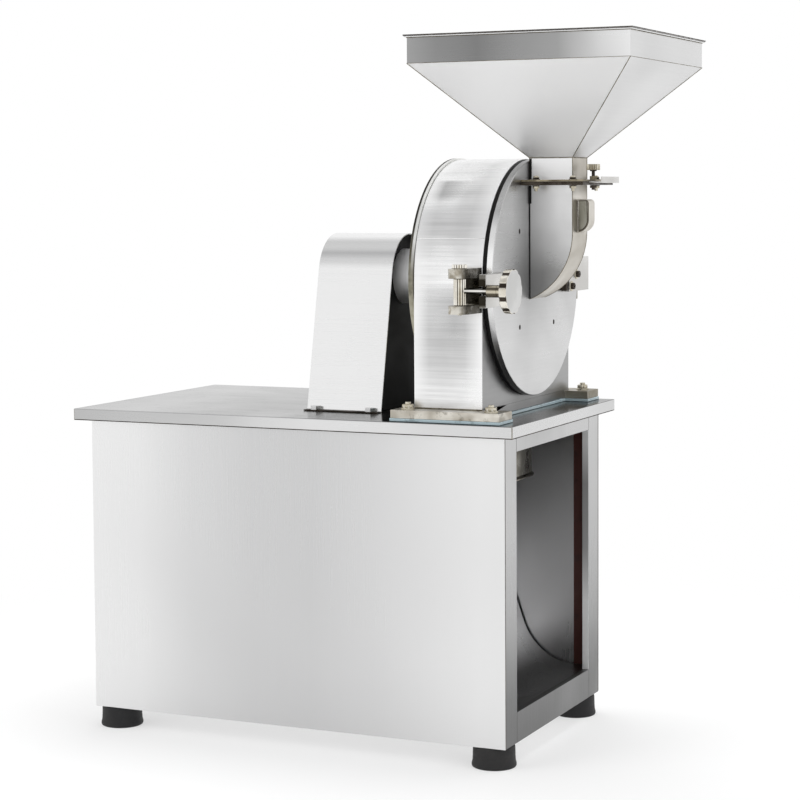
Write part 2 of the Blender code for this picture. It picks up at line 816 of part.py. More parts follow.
def feed_way():
    """The chute on the door, its flange with guides for the gate, the gate, and the flange above."""
    half = chute_width / 2
    top = flange_height + flange_sheet
    bm = bmesh.new()
    prism(bm, chute_outline(0, top), -half, half, "Y")
    chute = solid("feed_chute", bm, brushed, door_axis)
    bm = bmesh.new()
    prism(bm, chute_outline(chute_wall, top + LONG), chute_wall - half, half - chute_wall, "Y")
    cut(chute, bm)
    bm = bmesh.new()
    rod(bm, feed_hole_radius, door_face - LONG, chute_back + chute_wall + GAP, (0, 0, spindle_height), "X", 24)
    cut(chute, bm)

    bm = bmesh.new()
    block(bm, (flange_low_x, flange_high_x), (-flange_half_y, flange_half_y), (flange_height, top))
    lower = solid("chute_flange", bm, steel, door_axis)
    bm = bmesh.new()
    guide = gate_half_y + 2 * GAP
    for side in (-1, 1):
        block(bm, (flange_low_x + GAP, flange_high_x - GAP), sorted((side * guide, side * (flange_half_y - GAP))),
              (flange_height + GAP, upper_flange - GAP))
    join(lower, bm)
    bm = bmesh.new()
    block(bm, (chute_back - LONG, chute_front + GAP), (-half - GAP, half + GAP), (flange_height - LONG, top + LONG))
    bolt_holes(bm, flange_height - LONG, upper_flange + LONG)
    cut(lower, bm)

    bm = bmesh.new()
    block(bm, (flange_low_x, flange_high_x), (-flange_half_y, flange_half_y), (upper_flange, upper_top))
    upper = solid("hopper_flange", bm, steel, door_axis)
    bm = bmesh.new()
    stud = (flange_low_x + clamp_screw_x, 0, 0)
    rod(bm, clamp_nut_radius, upper_flange + GAP, upper_top + clamp_nut_height, stud, "Z", 6)
    join(upper, bm)
    bm = bmesh.new()
    block(bm, (chute_back - LONG, chute_front + GAP), (-half - GAP, half + GAP),
          (upper_flange - LONG / 2, upper_top + LONG))
    rod(bm, clamp_screw_radius + running_gap, upper_flange - LONG, upper_top + LONG, stud, "Z", 12)
    bolt_holes(bm, upper_flange - LONG, upper_top + LONG)
    cut(upper, bm)

    bm = bmesh.new()
    nut = 2.1 * flange_bolt_radius
    under, dome = flange_height - GAP, upper_top + GAP
    low = under - 1.6 * nut
    places = [(x, y, upper_top) for x, y in flange_bolt_places()]
    turned(bm, [(low, 0), (low, flange_bolt_radius), (under - nut * 0.8, flange_bolt_radius),
                (under - nut * 0.8, nut), (under, nut), (under, flange_bolt_radius), (dome, flange_bolt_radius),
                (dome, nut), (dome + nut * 0.6, nut), (dome + nut, nut * 0.6), (dome + nut * 1.15, 0)],
           (*places[0][:2], 0), "Z", 8)
    bolt = solid("flange_bolt_1", bm, zinc, door_axis, places[0])
    for number, place in enumerate(places[1:], 2):
        copy(bolt, f"flange_bolt_{number}", place)

    bm = bmesh.new()
    tip = flange_high_x + gate_reach
    profile = [(chute_back + chute_wall / 2, gate_floor), (tip, gate_floor), (tip, gate_floor + gate_lip_height),
               (tip - gate_thickness, gate_floor + gate_lip_height), (tip - gate_thickness, gate_floor + gate_thickness),
               (chute_back + chute_wall / 2, gate_floor + gate_thickness)]
    prism(bm, profile, -gate_half_y, gate_half_y, "Y")
    solid("slide_gate", bm, steel, gate_way)

    bm = bmesh.new()
    low = gate_floor + gate_thickness + GAP
    head = upper_top + clamp_head_lift
    edge = clamp_head_radius / 12
    turned(bm, [(low, 0), (low, clamp_screw_radius), (head, clamp_screw_radius), (head, clamp_head_radius - edge),
                (head + edge, clamp_head_radius), (head + clamp_head_height - edge, clamp_head_radius),
                (head + clamp_head_height, clamp_head_radius - edge), (head + clamp_head_height, 0)], stud, "Z", 18)
    solid("gate_screw", bm, polished, clamp_axis)

    bm = bmesh.new()
    face = chute_front + GAP
    front = face + trap_depth
    low, high = chute_bend_height, chute_bend_height + trap_height
    corner = trap_corner
    profile = [(face, high), *arc((front - corner, high - corner), corner, 90, 0, 3),
               *arc((front - trap_depth, low + trap_depth), trap_depth, 0, -90, 6)]
    prism(bm, profile, -trap_width / 2, trap_width / 2, "Y")
    sides = [side for side in bm.faces if abs(side.normal.y) > 0.9]
    bmesh.ops.inset_individual(bm, faces=sides, thickness=trap_recess)
    for side in sides:
        way = Vector((0, -math.copysign(trap_recess, side.calc_center_median().y), 0))
        bmesh.ops.translate(bm, vec=way, verts=side.verts)
    solid("magnet_trap", bm, brushed, door_axis)


def flange_bolt_places():
    return [(flange_low_x + x, side * flange_bolt_y) for x in (flange_bolt_near_x, flange_bolt_far_x)
            for side in (-1, 1)]


def bolt_holes(bm, low, high):
    for x, y in flange_bolt_places():
        rod(bm, flange_bolt_radius + GAP, low, high, (x, y, 0), "Z", 12)


def hopper():
    """A folded pyramid on a square neck, with an upright band and a thin lip round its mouth."""
    bm = bmesh.new()
    neck_x, neck_y = chute_depth / 2, chute_width / 2
    rim = hopper_rim / 2
    band = rim - hopper_lip
    low_band = total_height - hopper_band
    wall = hopper_sheet
    slant = math.atan2(band - neck_y, low_band - hopper_base_height)
    lift = wall * math.tan(math.pi / 4 - slant / 2)
    inner = band - wall

    def ring(x, y, z):
        return rectangle(chute_x, 0, x, y), z

    loft(bm, [ring(neck_x, neck_y, upper_flange), ring(neck_x, neck_y, hopper_base_height),
              ring(band, band, low_band), ring(band, band, total_height - wall), ring(rim, rim, total_height - wall),
              ring(rim, rim, total_height), ring(inner, inner, total_height), ring(inner, inner, low_band + lift),
              ring(neck_x - wall, neck_y - wall, hopper_base_height + lift),
              ring(neck_x - wall, neck_y - wall, upper_flange)])
    solid("hopper", bm, steel, door_axis)


def hinge():
    """The arm screwed to the door, the bracket on the shell, and the upright pin through both."""
    axis = (hinge_x, hinge_y, 0)
    arm_back = door_face + GAP
    bm = bmesh.new()
    outline = [(arm_back, arm_inner_y), (arm_back + arm_thickness, arm_inner_y),
               (arm_back + arm_thickness, arm_outer_y), (hinge_x, arm_outer_y),
               (hinge_x, arm_outer_y - arm_thickness), (arm_back, arm_outer_y - arm_thickness)]
    prism(bm, outline, arm_low, arm_high, "Z")
    arm = solid("hinge_arm", bm, brushed, door_axis)
    bm = bmesh.new()
    rod(bm, knuckle_radius, arm_low + GAP, arm_high - GAP, axis, "Z", 20)
    join(arm, bm)
    bm = bmesh.new()
    rod(bm, hinge_pin_radius + running_gap, arm_low - LONG, arm_high + LONG, axis, "Z", 16)
    cut(arm, bm)
    bm = bmesh.new()
    face = arm_back + arm_thickness
    for y, rise in arm_screws:
        turned(bm, [(face - sheet, 0), (face - sheet, arm_head_radius), (face + arm_head_height, arm_head_radius),
                    (face + arm_head_height, arm_screw_radius), (face + arm_head_height / 2, arm_screw_radius),
                    (face + arm_head_height / 2, 0)], (0, y, spindle_height + rise), "X", 10)
    join(arm, bm)

    bm = bmesh.new()
    wall = chamber_radius + GAP
    low, high = arm_low - GAP - ear_thickness, arm_high + GAP + ear_thickness
    plate_high_x = hinge_x - knuckle_radius - 2 * sheet
    block(bm, (hinge_plate_low_x, plate_high_x), (wall, wall + hinge_plate_thickness),
          (low - hinge_plate_margin, high + hinge_plate_margin))
    bracket = solid("hinge_bracket", bm, brushed)
    for ear_low, ear_high in ((low, low + ear_thickness), (high - ear_thickness, high)):
        bm = bmesh.new()
        inner_x = hinge_plate_low_x + hinge_plate_margin
        start = wall + hinge_plate_thickness - sheet
        outline = [(inner_x, start), (plate_high_x - GAP, start)]
        outline += arc((hinge_x, hinge_y), knuckle_radius, -60, 90, 8)
        outline += [(inner_x + hinge_plate_thickness, hinge_y + knuckle_radius)]
        prism(bm, outline, ear_low, ear_high, "Z")
        join(bracket, bm)
    bm = bmesh.new()
    rod(bm, hinge_pin_radius + GAP, low - LONG, high + LONG, axis, "Z", 16)
    cut(bracket, bm)
    bm = bmesh.new()
    top = high + GAP
    turned(bm, [(low - sheet, 0), (low - sheet, hinge_pin_radius), (top, hinge_pin_radius),
                (top, knuckle_radius), (top + pin_head_height, knuckle_radius), (top + pin_head_height, 0)],
           axis, "Z", 16)
    solid("hinge_pin", bm, polished)


def latch():
    """Two lugs with an upright pin and barrel on the shell; rod, knob and slotted plate on the door."""
    axis = (latch_x, -latch_y, 0)
    wall = -chamber_radius - GAP
    low_lug = (latch_low - GAP - latch_low_lug_height, latch_low - GAP)
    high_lug = (latch_high + GAP, latch_high + GAP + latch_lug_height)
    bm = bmesh.new()
    half = latch_lug_radius
    block(bm, (latch_x - half, latch_x + half), (wall - latch_plate_thickness, wall), (low_lug[0], high_lug[1]))
    bracket = solid("latch_bracket", bm, polished)
    for low, high in (low_lug, high_lug):
        bm = bmesh.new()
        outline = arc((latch_x, -latch_y), half - GAP, 180, 360, 10)
        outline += [(latch_x + half - GAP, wall - sheet), (latch_x - half + GAP, wall - sheet)]
        prism(bm, outline, low + GAP / 2, high - GAP / 2, "Z")
        join(bracket, bm)
    bm = bmesh.new()
    rod(bm, latch_pin_radius + GAP, low_lug[0] - LONG, high_lug[1] + LONG, axis, "Z", 14)
    cut(bracket, bm)

    bm = bmesh.new()
    top = high_lug[1] + GAP
    turned(bm, [(low_lug[0] - sheet, 0), (low_lug[0] - sheet, latch_pin_radius), (top, latch_pin_radius),
                (top, latch_head_radius), (top + latch_head_height, latch_head_radius),
                (top + latch_head_height, 0)], axis, "Z", 16)
    solid("latch_pin", bm, polished)

    bm = bmesh.new()
    tube(bm, latch_pin_radius + GAP, latch_barrel_radius, latch_low, latch_high, axis, "Z", 20)
    barrel = solid("latch_barrel", bm, polished, machine, (latch_x, -latch_y, latch_height))
    bm = bmesh.new()
    barrel_face = latch_x + latch_barrel_radius
    way = (0, -latch_y, latch_height)
    rod(bm, rod_radius + rod_bore_clearance, barrel_face - rod_bore_depth, barrel_face + LONG, way, "X", 14)
    cut(barrel, bm)

    bm = bmesh.new()
    rod_end = knob_high_x - knob_thickness / 2
    rod(bm, rod_radius, barrel_face - rod_bore_depth + 2 * GAP, rod_end, way, "X", 16)
    solid("latch_rod", bm, polished, door_axis)

    bm = bmesh.new()
    bore = rod_radius + running_gap
    disc_x = knob_low_x + hub_length
    turned(bm, [(rod_end + GAP, 0), (rod_end + GAP, bore), (knob_low_x, bore), (knob_low_x, hub_radius),
                (disc_x, hub_radius), (disc_x, knob_radius),
                (knob_high_x - sheet / 2, knob_radius), (knob_high_x, knob_radius - sheet / 2), (knob_high_x, 0)],
           way, "X", 40)
    knob = solid("clamp_knob", bm, polished, knob_axis)
    bm = bmesh.new()
    reach = knob_radius + knob_flute_radius - knob_flute_depth
    for number in range(knob_flutes):
        angle = (number + 0.5) * 2 * math.pi / knob_flutes
        place = (0, -latch_y + reach * math.cos(angle), latch_height + reach * math.sin(angle))
        rod(bm, knob_flute_radius, disc_x - LONG / 2, knob_high_x + LONG / 2, place, "X", 14)
    cut(knob, bm)

    bm = bmesh.new()
    plate_low = door_face + GAP
    half = latch_plate_height / 2
    block(bm, (plate_low, plate_low + latch_plate_thickness), (-latch_plate_outer_y, -latch_plate_inner_y),
          (latch_height - half, latch_height + half))
    plate = solid("latch_plate", bm, brushed, door_axis)
    bm = bmesh.new()
    slot = latch_slot_height / 2
    block(bm, (plate_low - LONG / 2, plate_low + LONG), (-latch_plate_outer_y - LONG, -latch_slot_end),
          (latch_height - slot, latch_height + slot))
    cut(plate, bm)


def grooved_profile(radius, bore):
    """A pulley's section: a plain bore and one V groove for each belt."""
    low, high = drive_x - pulley_half, drive_x + pulley_half
    mouth = belt_top / 2 + GAP
    root = mouth - groove_depth * math.tan(belt_angle)
    profile = [(low, bore), (low, radius)]
    for number in range(belts):
        middle = drive_x - groove_reach + number * belt_pitch
        profile += [(middle - mouth, radius), (middle - root, radius - groove_depth),
                    (middle + root, radius - groove_depth), (middle + mouth, radius)]
    return profile + [(high, radius), (high, bore)]


def drive():
    """The spindle with its bearings and pulley, and the belts down to the motor's pulley."""
    centre = (0, 0, spindle_height)
    pulley_high = drive_x + pulley_half
    nut_face = drive_x - pulley_half - GAP
    rotor_low = chamber_back + screen_seat_depth - GAP
    shaft_end = rotor_face + nut_width + 4 * GAP
    bm = bmesh.new()
    turned(bm, [(spindle_low_x, 0), (spindle_low_x, spindle_end_radius), (pulley_high + GAP, spindle_end_radius),
                (pulley_high + GAP, spindle_radius), (rotor_low, spindle_radius), (rotor_low, spindle_end_radius),
                (shaft_end, spindle_end_radius), (shaft_end, 0)], centre, "X", 20)
    solid("spindle_shaft", bm, hard_steel, spindle_axis)
    bore = spindle_end_radius + GAP
    for name, low in (("pulley_nut", nut_face - nut_width), ("rotor_nut", rotor_face + GAP)):
        bm = bmesh.new()
        tube(bm, bore, nut_radius, low, low + nut_width, centre, "X", 20)
        solid(name, bm, hard_steel, spindle_axis)
    bm = bmesh.new()
    turned(bm, grooved_profile(spindle_pulley_radius, bore), centre, "X", 24)
    solid("spindle_pulley", bm, iron, spindle_axis)

    bm = bmesh.new()
    inner = housing_radius - housing_wall
    flange = housing_high_x - housing_flange
    turned(bm, [(housing_low_x, inner), (housing_low_x, housing_radius), (flange, housing_radius),
                (flange, housing_flange_radius), (housing_high_x, housing_flange_radius), (housing_high_x, inner)],
           centre, "X", 28)
    housing = solid("bearing_housing", bm, brushed)
    bm = bmesh.new()
    head = 1.6 * bearing_bolt_radius
    bars(bm, head, flange - head, flange + sheet, ring_places(bearing_bolt_circle, bearing_bolts), 6)
    join(housing, bm)
    bm = bmesh.new()
    cap = housing_low_x - GAP
    tube(bm, spindle_radius + running_gap, housing_radius - sheet, cap - cap_thickness, cap, centre, "X", 24)
    solid("bearing_cap", bm, iron)
    for name, low in (("rear_bearing", housing_low_x + bearing_inset),
                      ("front_bearing", housing_high_x - bearing_inset - bearing_width)):
        bm = bmesh.new()
        tube(bm, spindle_radius + running_gap, inner - GAP, low, low + bearing_width, centre, "X", 20)
        solid(name, bm, polished)

    bm = bmesh.new()
    turned(bm, grooved_profile(motor_pulley_radius, motor_shaft_radius + GAP), (0, 0, motor_height), "X", 30)
    solid("motor_pulley", bm, iron, motor_axis)
    drive_belt()


def drive_belt():
    """An endless banded belt: a section with one rib for each groove, carried round both pulleys."""
    bm = bmesh.new()
    rise = spindle_height - motor_height
    lean = math.asin((motor_pulley_radius - spindle_pulley_radius) / rise)
    narrow = belt_top / 2 - belt_height * math.tan(belt_angle)
    section = []
    for number in range(belts):
        middle = drive_x - groove_reach + number * belt_pitch
        section += [(middle - belt_top / 2, belt_lift), (middle - narrow, belt_lift - belt_height),
                    (middle + narrow, belt_lift - belt_height), (middle + belt_top / 2, belt_lift)]
    section += [(section[-1][0], belt_lift + belt_band), (section[0][0], belt_lift + belt_band)]
    loops = []
    for centre, radius, start, end, steps in (
            (spindle_height, spindle_pulley_radius, lean, math.pi - lean, 10),
            (motor_height, motor_pulley_radius, math.pi - lean, 2 * math.pi + lean, 14)):
        for step in range(steps + 1):
            angle = start + (end - start) * step / steps
            loops.append([(x, (radius + out) * math.cos(angle), centre + (radius + out) * math.sin(angle))
                          for x, out in section])
    skin(bm, loops)
    solid("drive_belt", bm, rubber)


def motor():
    """A finned, foot-mounted motor on two rails, with its fan and cowl, terminal box and shaft."""
    centre = (0, 0, motor_height)
    bm = bmesh.new()
    outline = []
    for number in range(motor_fins):
        step = 360 / motor_fins
        for part, radius in ((0, motor_radius), (0.4, motor_radius), (0.5, motor_radius - motor_fin_depth),
                             (0.9, motor_radius - motor_fin_depth)):
            angle = math.radians((number + part) * step)
            outline.append((radius * math.cos(angle), motor_height + radius * math.sin(angle)))
    prism(bm, outline, motor_low_x + shield_length, motor_high_x - shield_length, "X")
    body = solid("motor_body", bm, motor_paint)
    bm = bmesh.new()
    chamfer = motor_fin_depth
    for outer, inner in ((motor_low_x, motor_low_x + shield_length + sheet),
                         (motor_high_x, motor_high_x - shield_length - sheet)):
        way = math.copysign(chamfer, inner - outer)
        turned(bm, [(outer, 0), (outer, motor_radius - chamfer), (outer + way, motor_radius - sheet),
                    (inner, motor_radius - sheet), (inner, 0)], centre, "X", 24)
    join(body, bm)
    foot_low = rail_top + GAP
    foot_top = foot_low + motor_foot_thickness
    webs = bmesh.new()
    pads = bmesh.new()
    for x in motor_foot_places():
        block(webs, (x - motor_foot_length / 4, x + motor_foot_length / 4), (-motor_web_half_y, motor_web_half_y),
              (foot_low + sheet, motor_height - motor_radius / 2))
        block(pads, (x - motor_foot_length / 2, x + motor_foot_length / 2), (-motor_foot_half_y, motor_foot_half_y),
              (foot_low, foot_top))
    join(body, webs)
    join(body, pads)
    bolt_y = motor_foot_half_y - 2 * hex_head_radius
    join(body, hex_heads([(x, side * bolt_y) for x in motor_foot_places() for side in (-1, 1)], foot_top))
    bm = bmesh.new()
    rod(bm, motor_shaft_radius + running_gap, motor_low_x - LONG, motor_high_x + LONG, centre, "X", 24)
    cut(body, bm)

    bm = bmesh.new()
    end = motor_low_x - cowl_length
    rim = motor_low_x + cowl_lap
    wall = sheet
    inner = motor_radius - sheet + GAP
    turned(bm, [(end, 0), (end, inner - chamfer), (end + chamfer, inner + wall), (rim, inner + wall), (rim, inner),
                (end + chamfer, inner), (end + wall, inner - chamfer), (end + wall, 0)], centre, "X", 24)
    cowl = solid("motor_fan_cover", bm, motor_paint)
    bm = bmesh.new()
    blocks_round(bm, (end - LONG, end + 2 * wall), (-cowl_slot / 2, cowl_slot / 2),
                 (cowl_eye, motor_radius - 2 * chamfer), cowl_slots, motor_height)
    cut(cowl, bm)

    bm = bmesh.new()
    shaft_low = motor_low_x - cowl_length * 0.75
    rod(bm, motor_shaft_radius, shaft_low, drive_x + pulley_half + sheet, centre, "X", 16)
    solid("motor_shaft", bm, hard_steel, motor_axis)

    bm = bmesh.new()
    fan_low, fan_high = shaft_low + sheet, motor_low_x - cowl_length * 0.2
    bore = motor_shaft_radius + GAP
    tube(bm, bore, bore + 2 * sheet, fan_low, fan_high, centre, "X", 16)
    fan = solid("motor_fan", bm, black, motor_axis)
    bm = bmesh.new()
    blocks_round(bm, (fan_low + GAP, fan_high - GAP), (-sheet / 2, sheet / 2), (bore + sheet, fan_radius),
                 fan_blades, motor_height)
    join(fan, bm)

    bm = bmesh.new()
    middle = (motor_low_x + motor_high_x) / 2
    box_low = motor_height + motor_radius + GAP
    block(bm, (middle - box_length / 2, middle + box_length / 2), (-box_width / 2, box_width / 2),
          (box_low, box_low + box_height))
    box = solid("motor_terminal_box", bm, motor_paint)
    bevel(box, 0.006, 2)

    low_x, high_x = motor_foot_places()
    bm = bmesh.new()
    reach = frame_y - angle_thickness - GAP
    block(bm, (low_x - rail_width / 2, high_x + rail_width / 2), (-reach, reach), (motor_foot_low, rail_top))
    base = solid("motor_base", bm, primer)
    bm = bmesh.new()
    block(bm, (low_x + rail_width / 2, high_x - rail_width / 2), (rail_width - reach, reach - rail_width),
          (motor_foot_low - LONG, rail_top + LONG))
    cut(base, bm)


def motor_foot_places():
    return (motor_low_x + motor_foot_inset, motor_high_x - motor_foot_inset)


def guard_outline(inset, below=0):
    """The belt guard's end view: an arch whose sides lean out to its foot, carried straight below it if asked."""
    radius = guard_radius - inset
    foot = guard_base_half - inset
    floor = table_height + GAP
    drop = spindle_height - floor
    side = math.degrees(math.acos(radius / math.hypot(foot, drop)) - math.atan2(drop, foot))
    outline = arc((0, spindle_height), radius, side, 180 - side, 20) + [(-foot, floor)]
    if below:
        outline += [(-foot, floor - below), (foot, floor - below)]
    return outline + [(foot, floor)]


def guard():
    """The sheet cover over the belts, with a black plate set back behind its open end."""
    floor = table_height + GAP
    bm = bmesh.new()
    prism(bm, guard_outline(0), guard_low_x, guard_high_x, "X")
    cover = solid("belt_guard", bm, steel)
    bm = bmesh.new()
    for side in (-1, 1):
        inner, outer = guard_base_half - 2 * sheet, guard_base_half + guard_foot
        block(bm, (guard_low_x + GAP, guard_high_x - GAP), sorted((side * inner, side * outer)),
              (floor, floor + sheet))
    join(cover, bm)
    join(cover, hex_heads(guard_bolt_places(), floor + sheet))
    bm = bmesh.new()
    prism(bm, guard_outline(sheet, LONG), guard_low_x + sheet, guard_high_x + LONG, "X")
    cut(cover, bm)
    bm = bmesh.new()
    prism(bm, guard_outline(sheet + GAP), guard_plate_x, guard_plate_x + sheet, "X")
    plate = solid("guard_back_plate", bm, black)
    bm = bmesh.new()
    rod(bm, housing_radius + GAP, guard_plate_x - LONG, guard_plate_x + LONG, (0, 0, spindle_height), "X", 28)
    cut(plate, bm)


def guard_bolt_places():
    inset = 2 * hex_head_radius
    y = guard_base_half + guard_foot - hex_head_radius
    return [(x, side * y) for x in (guard_low_x + inset, guard_high_x - inset) for side in (-1, 1)]


table_top()
angle_frame()
cabinet_skins()
end_surround()
bay_liner()
rubber_feet()
discharge_spout()
chamber()
grinding_discs()
door()
feed_way()
hopper()
hinge()
latch()
drive()
motor()
guard()
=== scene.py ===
# %% [markdown]
# # A powder grinding machine
# The real machine is a folded stainless cabinet with a belt-driven mill on its table. Powder ground between
# two toothed discs falls through the table into the open bay. We take the finished solids as a frame, dress
# each one with soft edges and a procedural finish, and add the welds, screws and knurls that are too fine for
# the solids.

import json
import math

import bmesh
import bpy
from mathutils import Matrix, Vector

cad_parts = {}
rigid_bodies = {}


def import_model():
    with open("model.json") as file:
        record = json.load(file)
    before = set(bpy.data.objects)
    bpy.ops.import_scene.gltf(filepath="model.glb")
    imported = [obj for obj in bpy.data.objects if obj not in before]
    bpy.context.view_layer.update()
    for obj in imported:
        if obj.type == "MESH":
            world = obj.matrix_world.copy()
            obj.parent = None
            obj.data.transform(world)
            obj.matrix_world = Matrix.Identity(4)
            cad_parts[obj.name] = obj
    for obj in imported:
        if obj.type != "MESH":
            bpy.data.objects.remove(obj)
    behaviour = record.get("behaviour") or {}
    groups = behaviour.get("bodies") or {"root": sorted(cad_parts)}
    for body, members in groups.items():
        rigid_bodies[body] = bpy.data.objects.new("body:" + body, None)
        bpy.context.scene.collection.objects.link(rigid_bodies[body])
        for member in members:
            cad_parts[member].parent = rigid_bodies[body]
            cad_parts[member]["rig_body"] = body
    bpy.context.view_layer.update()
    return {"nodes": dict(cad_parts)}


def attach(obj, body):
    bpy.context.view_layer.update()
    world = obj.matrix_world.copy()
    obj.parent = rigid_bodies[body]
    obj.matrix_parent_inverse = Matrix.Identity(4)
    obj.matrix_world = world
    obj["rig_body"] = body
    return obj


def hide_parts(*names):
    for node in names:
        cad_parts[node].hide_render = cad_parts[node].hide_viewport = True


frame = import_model()
SHIFT = Vector((-0.09565, 0.019, 0))  # from the cabinet's middle to the frame's origin
X, Y, Z = range(3)

# %% [markdown]
# ## The camera
# A long lens stands far off, a little above the table and to the right of the front panel, so upright edges
# stay almost parallel. The lens shift lowers the frame as a view camera does, without tilting the machine.

# %% The camera
YAW, PITCH, ROLL = math.radians(24.69), math.radians(-3.72), math.radians(-0.36)
PICTURE, FOCAL, HORIZON = 800, 2163.18, 330.55  # in pixels: side, focal length, middle of the lens
ahead = Vector((-math.sin(YAW) * math.cos(PITCH), math.cos(YAW) * math.cos(PITCH), math.sin(PITCH)))
level = Vector((math.cos(YAW), math.sin(YAW), 0))
upright = level.cross(ahead)
sideways = level * math.cos(ROLL) + upright * math.sin(ROLL)
lens = bpy.data.cameras.new("camera")
lens.sensor_width = 36
lens.lens = FOCAL / PICTURE * lens.sensor_width
lens.shift_y = (HORIZON - PICTURE / 2) / PICTURE
camera = bpy.data.objects.new("camera", lens)
camera.matrix_world = Matrix((sideways, sideways.cross(ahead), -ahead)).transposed().to_4x4()
camera.location = Vector((1.7550, -3.58416, 0.9855)) + SHIFT
bpy.context.scene.collection.objects.link(camera)
bpy.context.scene.camera = camera
bpy.context.scene.view_settings.view_transform = "Standard"
print(f"lens {lens.lens:.1f} mm, turned {math.degrees(YAW):.1f} degrees")

# %% [markdown]
# ## Helpers for node trees
# A material is a tree of nodes. One helper adds a node with its values and links, and one makes a node group:
# a tree with named sockets that many materials share, each with its own numbers.


# %% Nodes and node groups
def add_node(tree, kind, values=None, links=None, **settings):
    """A node with its settings, its sockets' values, and the sockets that feed it."""
    made = tree.nodes.new(kind)
    for name, value in settings.items():
        setattr(made, name, value)
    for name, value in (values or {}).items():
        made.inputs[name].default_value = value
    for name, source in (links or {}).items():
        tree.links.new(source, made.inputs[name])
    return made


def new_group(name, inputs, outputs):
    """A node group: its tree, the sockets it is given, a vector first, and those it puts out."""
    tree = bpy.data.node_groups.new(name, "ShaderNodeTree")
    tree.interface.new_socket(name="Vector", in_out="INPUT", socket_type="NodeSocketVector")
    for socket, value in inputs.items():
        kind = "NodeSocketVector" if isinstance(value, tuple) else "NodeSocketFloat"
        tree.interface.new_socket(name=socket, in_out="INPUT", socket_type=kind).default_value = value
    for socket in outputs:
        tree.interface.new_socket(name=socket, in_out="OUTPUT", socket_type="NodeSocketFloat")
    return tree, tree.nodes.new("NodeGroupInput").outputs, tree.nodes.new("NodeGroupOutput").inputs


print("node helpers ready")

# %% [markdown]
# ## Values
# Most of a finish is numbers that change over the surface. These helpers place an effect, take a noise,
# stretch a range with a soft start and end, and do sums, each in one readable line.


# %% Effects, noise and sums
def effect(tree, group, spot, values=None):
    """A node group placed in a material: the sockets it puts out."""
    return add_node(tree, "ShaderNodeGroup", values, {"Vector": spot}, node_tree=group).outputs


def noise(tree, vector, scale, detail=3.0, roughness=0.55, distortion=0.0):
    """The value of a noise texture, whose scale may be a number or a socket."""
    values = {"Detail": detail, "Roughness": roughness, "Distortion": distortion}
    links = {"Vector": vector}
    (values if isinstance(scale, (int, float)) else links)["Scale"] = scale
    return add_node(tree, "ShaderNodeTexNoise", values, links).outputs["Fac"]


def remap(tree, value, low, high, to_low=0.0, to_high=1.0):
    """A smooth step from one range of values to another."""
    limits = {"From Min": low, "From Max": high, "To Min": to_low, "To Max": to_high}
    return add_node(tree, "ShaderNodeMapRange", limits, {"Value": value},
                    interpolation_type="SMOOTHSTEP").outputs["Result"]


def compute(tree, operation, first, second):
    """A Math node over sockets or numbers."""
    made = add_node(tree, "ShaderNodeMath", operation=operation)
    for socket, value in zip(made.inputs, (first, second)):
        if isinstance(value, bpy.types.NodeSocket):
            tree.links.new(value, socket)
        else:
            socket.default_value = value
    return made.outputs[0]


def times(tree, first, second):
    """The product of two masks or numbers."""
    return compute(tree, "MULTIPLY", first, second)


print("value helpers ready")

# %% [markdown]
# ## Colours
# A colour is laid over another by a mask. A mask may follow one axis of the machine through a few stops,
# which is how a sheet gets a painted dim patch of shade at a chosen height without any picture.


# %% Greys, blends and masks along an axis
def tone(value):
    """A colour as it is, or the plain grey that one number stands for."""
    return (value, value, value) if isinstance(value, (int, float)) else value


def blend(tree, mask, first, second):
    """One colour over another by a mask. Each is a colour or a socket."""
    made = add_node(tree, "ShaderNodeMix", data_type="RGBA")
    for socket, value in ((made.inputs[0], mask), (made.inputs[6], first), (made.inputs[7], second)):
        if isinstance(value, bpy.types.NodeSocket):
            tree.links.new(value, socket)
        else:
            socket.default_value = value if isinstance(value, (int, float)) else (*value, 1)
    return made.outputs[2]


def along(tree, spot, axis, stops):
    """A mask that follows one coordinate through stops of (place from the cabinet's middle, amount)."""
    place = add_node(tree, "ShaderNodeSeparateXYZ", links={"Vector": spot}).outputs[axis]
    low, high = stops[0][0] + SHIFT[axis], stops[-1][0] + SHIFT[axis]
    share = add_node(tree, "ShaderNodeMapRange", {"From Min": low, "From Max": high},
                     {"Value": place}).outputs[0]
    ramp = add_node(tree, "ShaderNodeValToRGB", links={"Fac": share})
    elements = ramp.color_ramp.elements
    for number, (at, amount) in enumerate(stops):
        share = (at + SHIFT[axis] - low) / (high - low)
        if number in (0, len(stops) - 1):
            element = elements[0 if number == 0 else len(elements) - 1]
            element.position = share
        else:
            element = elements.new(share)
        element.color = (amount, amount, amount, 1)
    return ramp.outputs["Color"]


print("colour helpers ready")

# %% [markdown]
# ## Effects that the finishes share
# Stainless sheet is never even: its mill grain runs one way, the polish clouds it in broad patches, and hands
# and tools leave marks. Each effect is a group that puts out a mask from 0 to 1, so a material decides what
# it changes.

# %% Grain and cloudiness as node groups
tree, given, put = new_group("brushed_grain", {"Stretch": (4, 300, 300)}, ["Grain", "Band"])
stretched = add_node(tree, "ShaderNodeMapping", links={"Vector": given["Vector"], "Scale": given["Stretch"]})
fine = noise(tree, stretched.outputs[0], 1.0, 4.0, 0.7)
coarse = noise(tree, stretched.outputs[0], 0.13, 2.0, 0.6)
tree.links.new(remap(tree, fine, 0.30, 0.70), put["Grain"])
tree.links.new(remap(tree, coarse, 0.35, 0.68), put["Band"])
brushed_grain = tree

tree, given, put = new_group("cloudy_polish", {"Size": 6.0}, ["Cloud"])
wide = noise(tree, given["Vector"], given["Size"], 2.0, 0.5, 0.3)
tree.links.new(remap(tree, wide, 0.34, 0.66), put["Cloud"])
cloudy_polish = tree
print("grain and polish grouped")

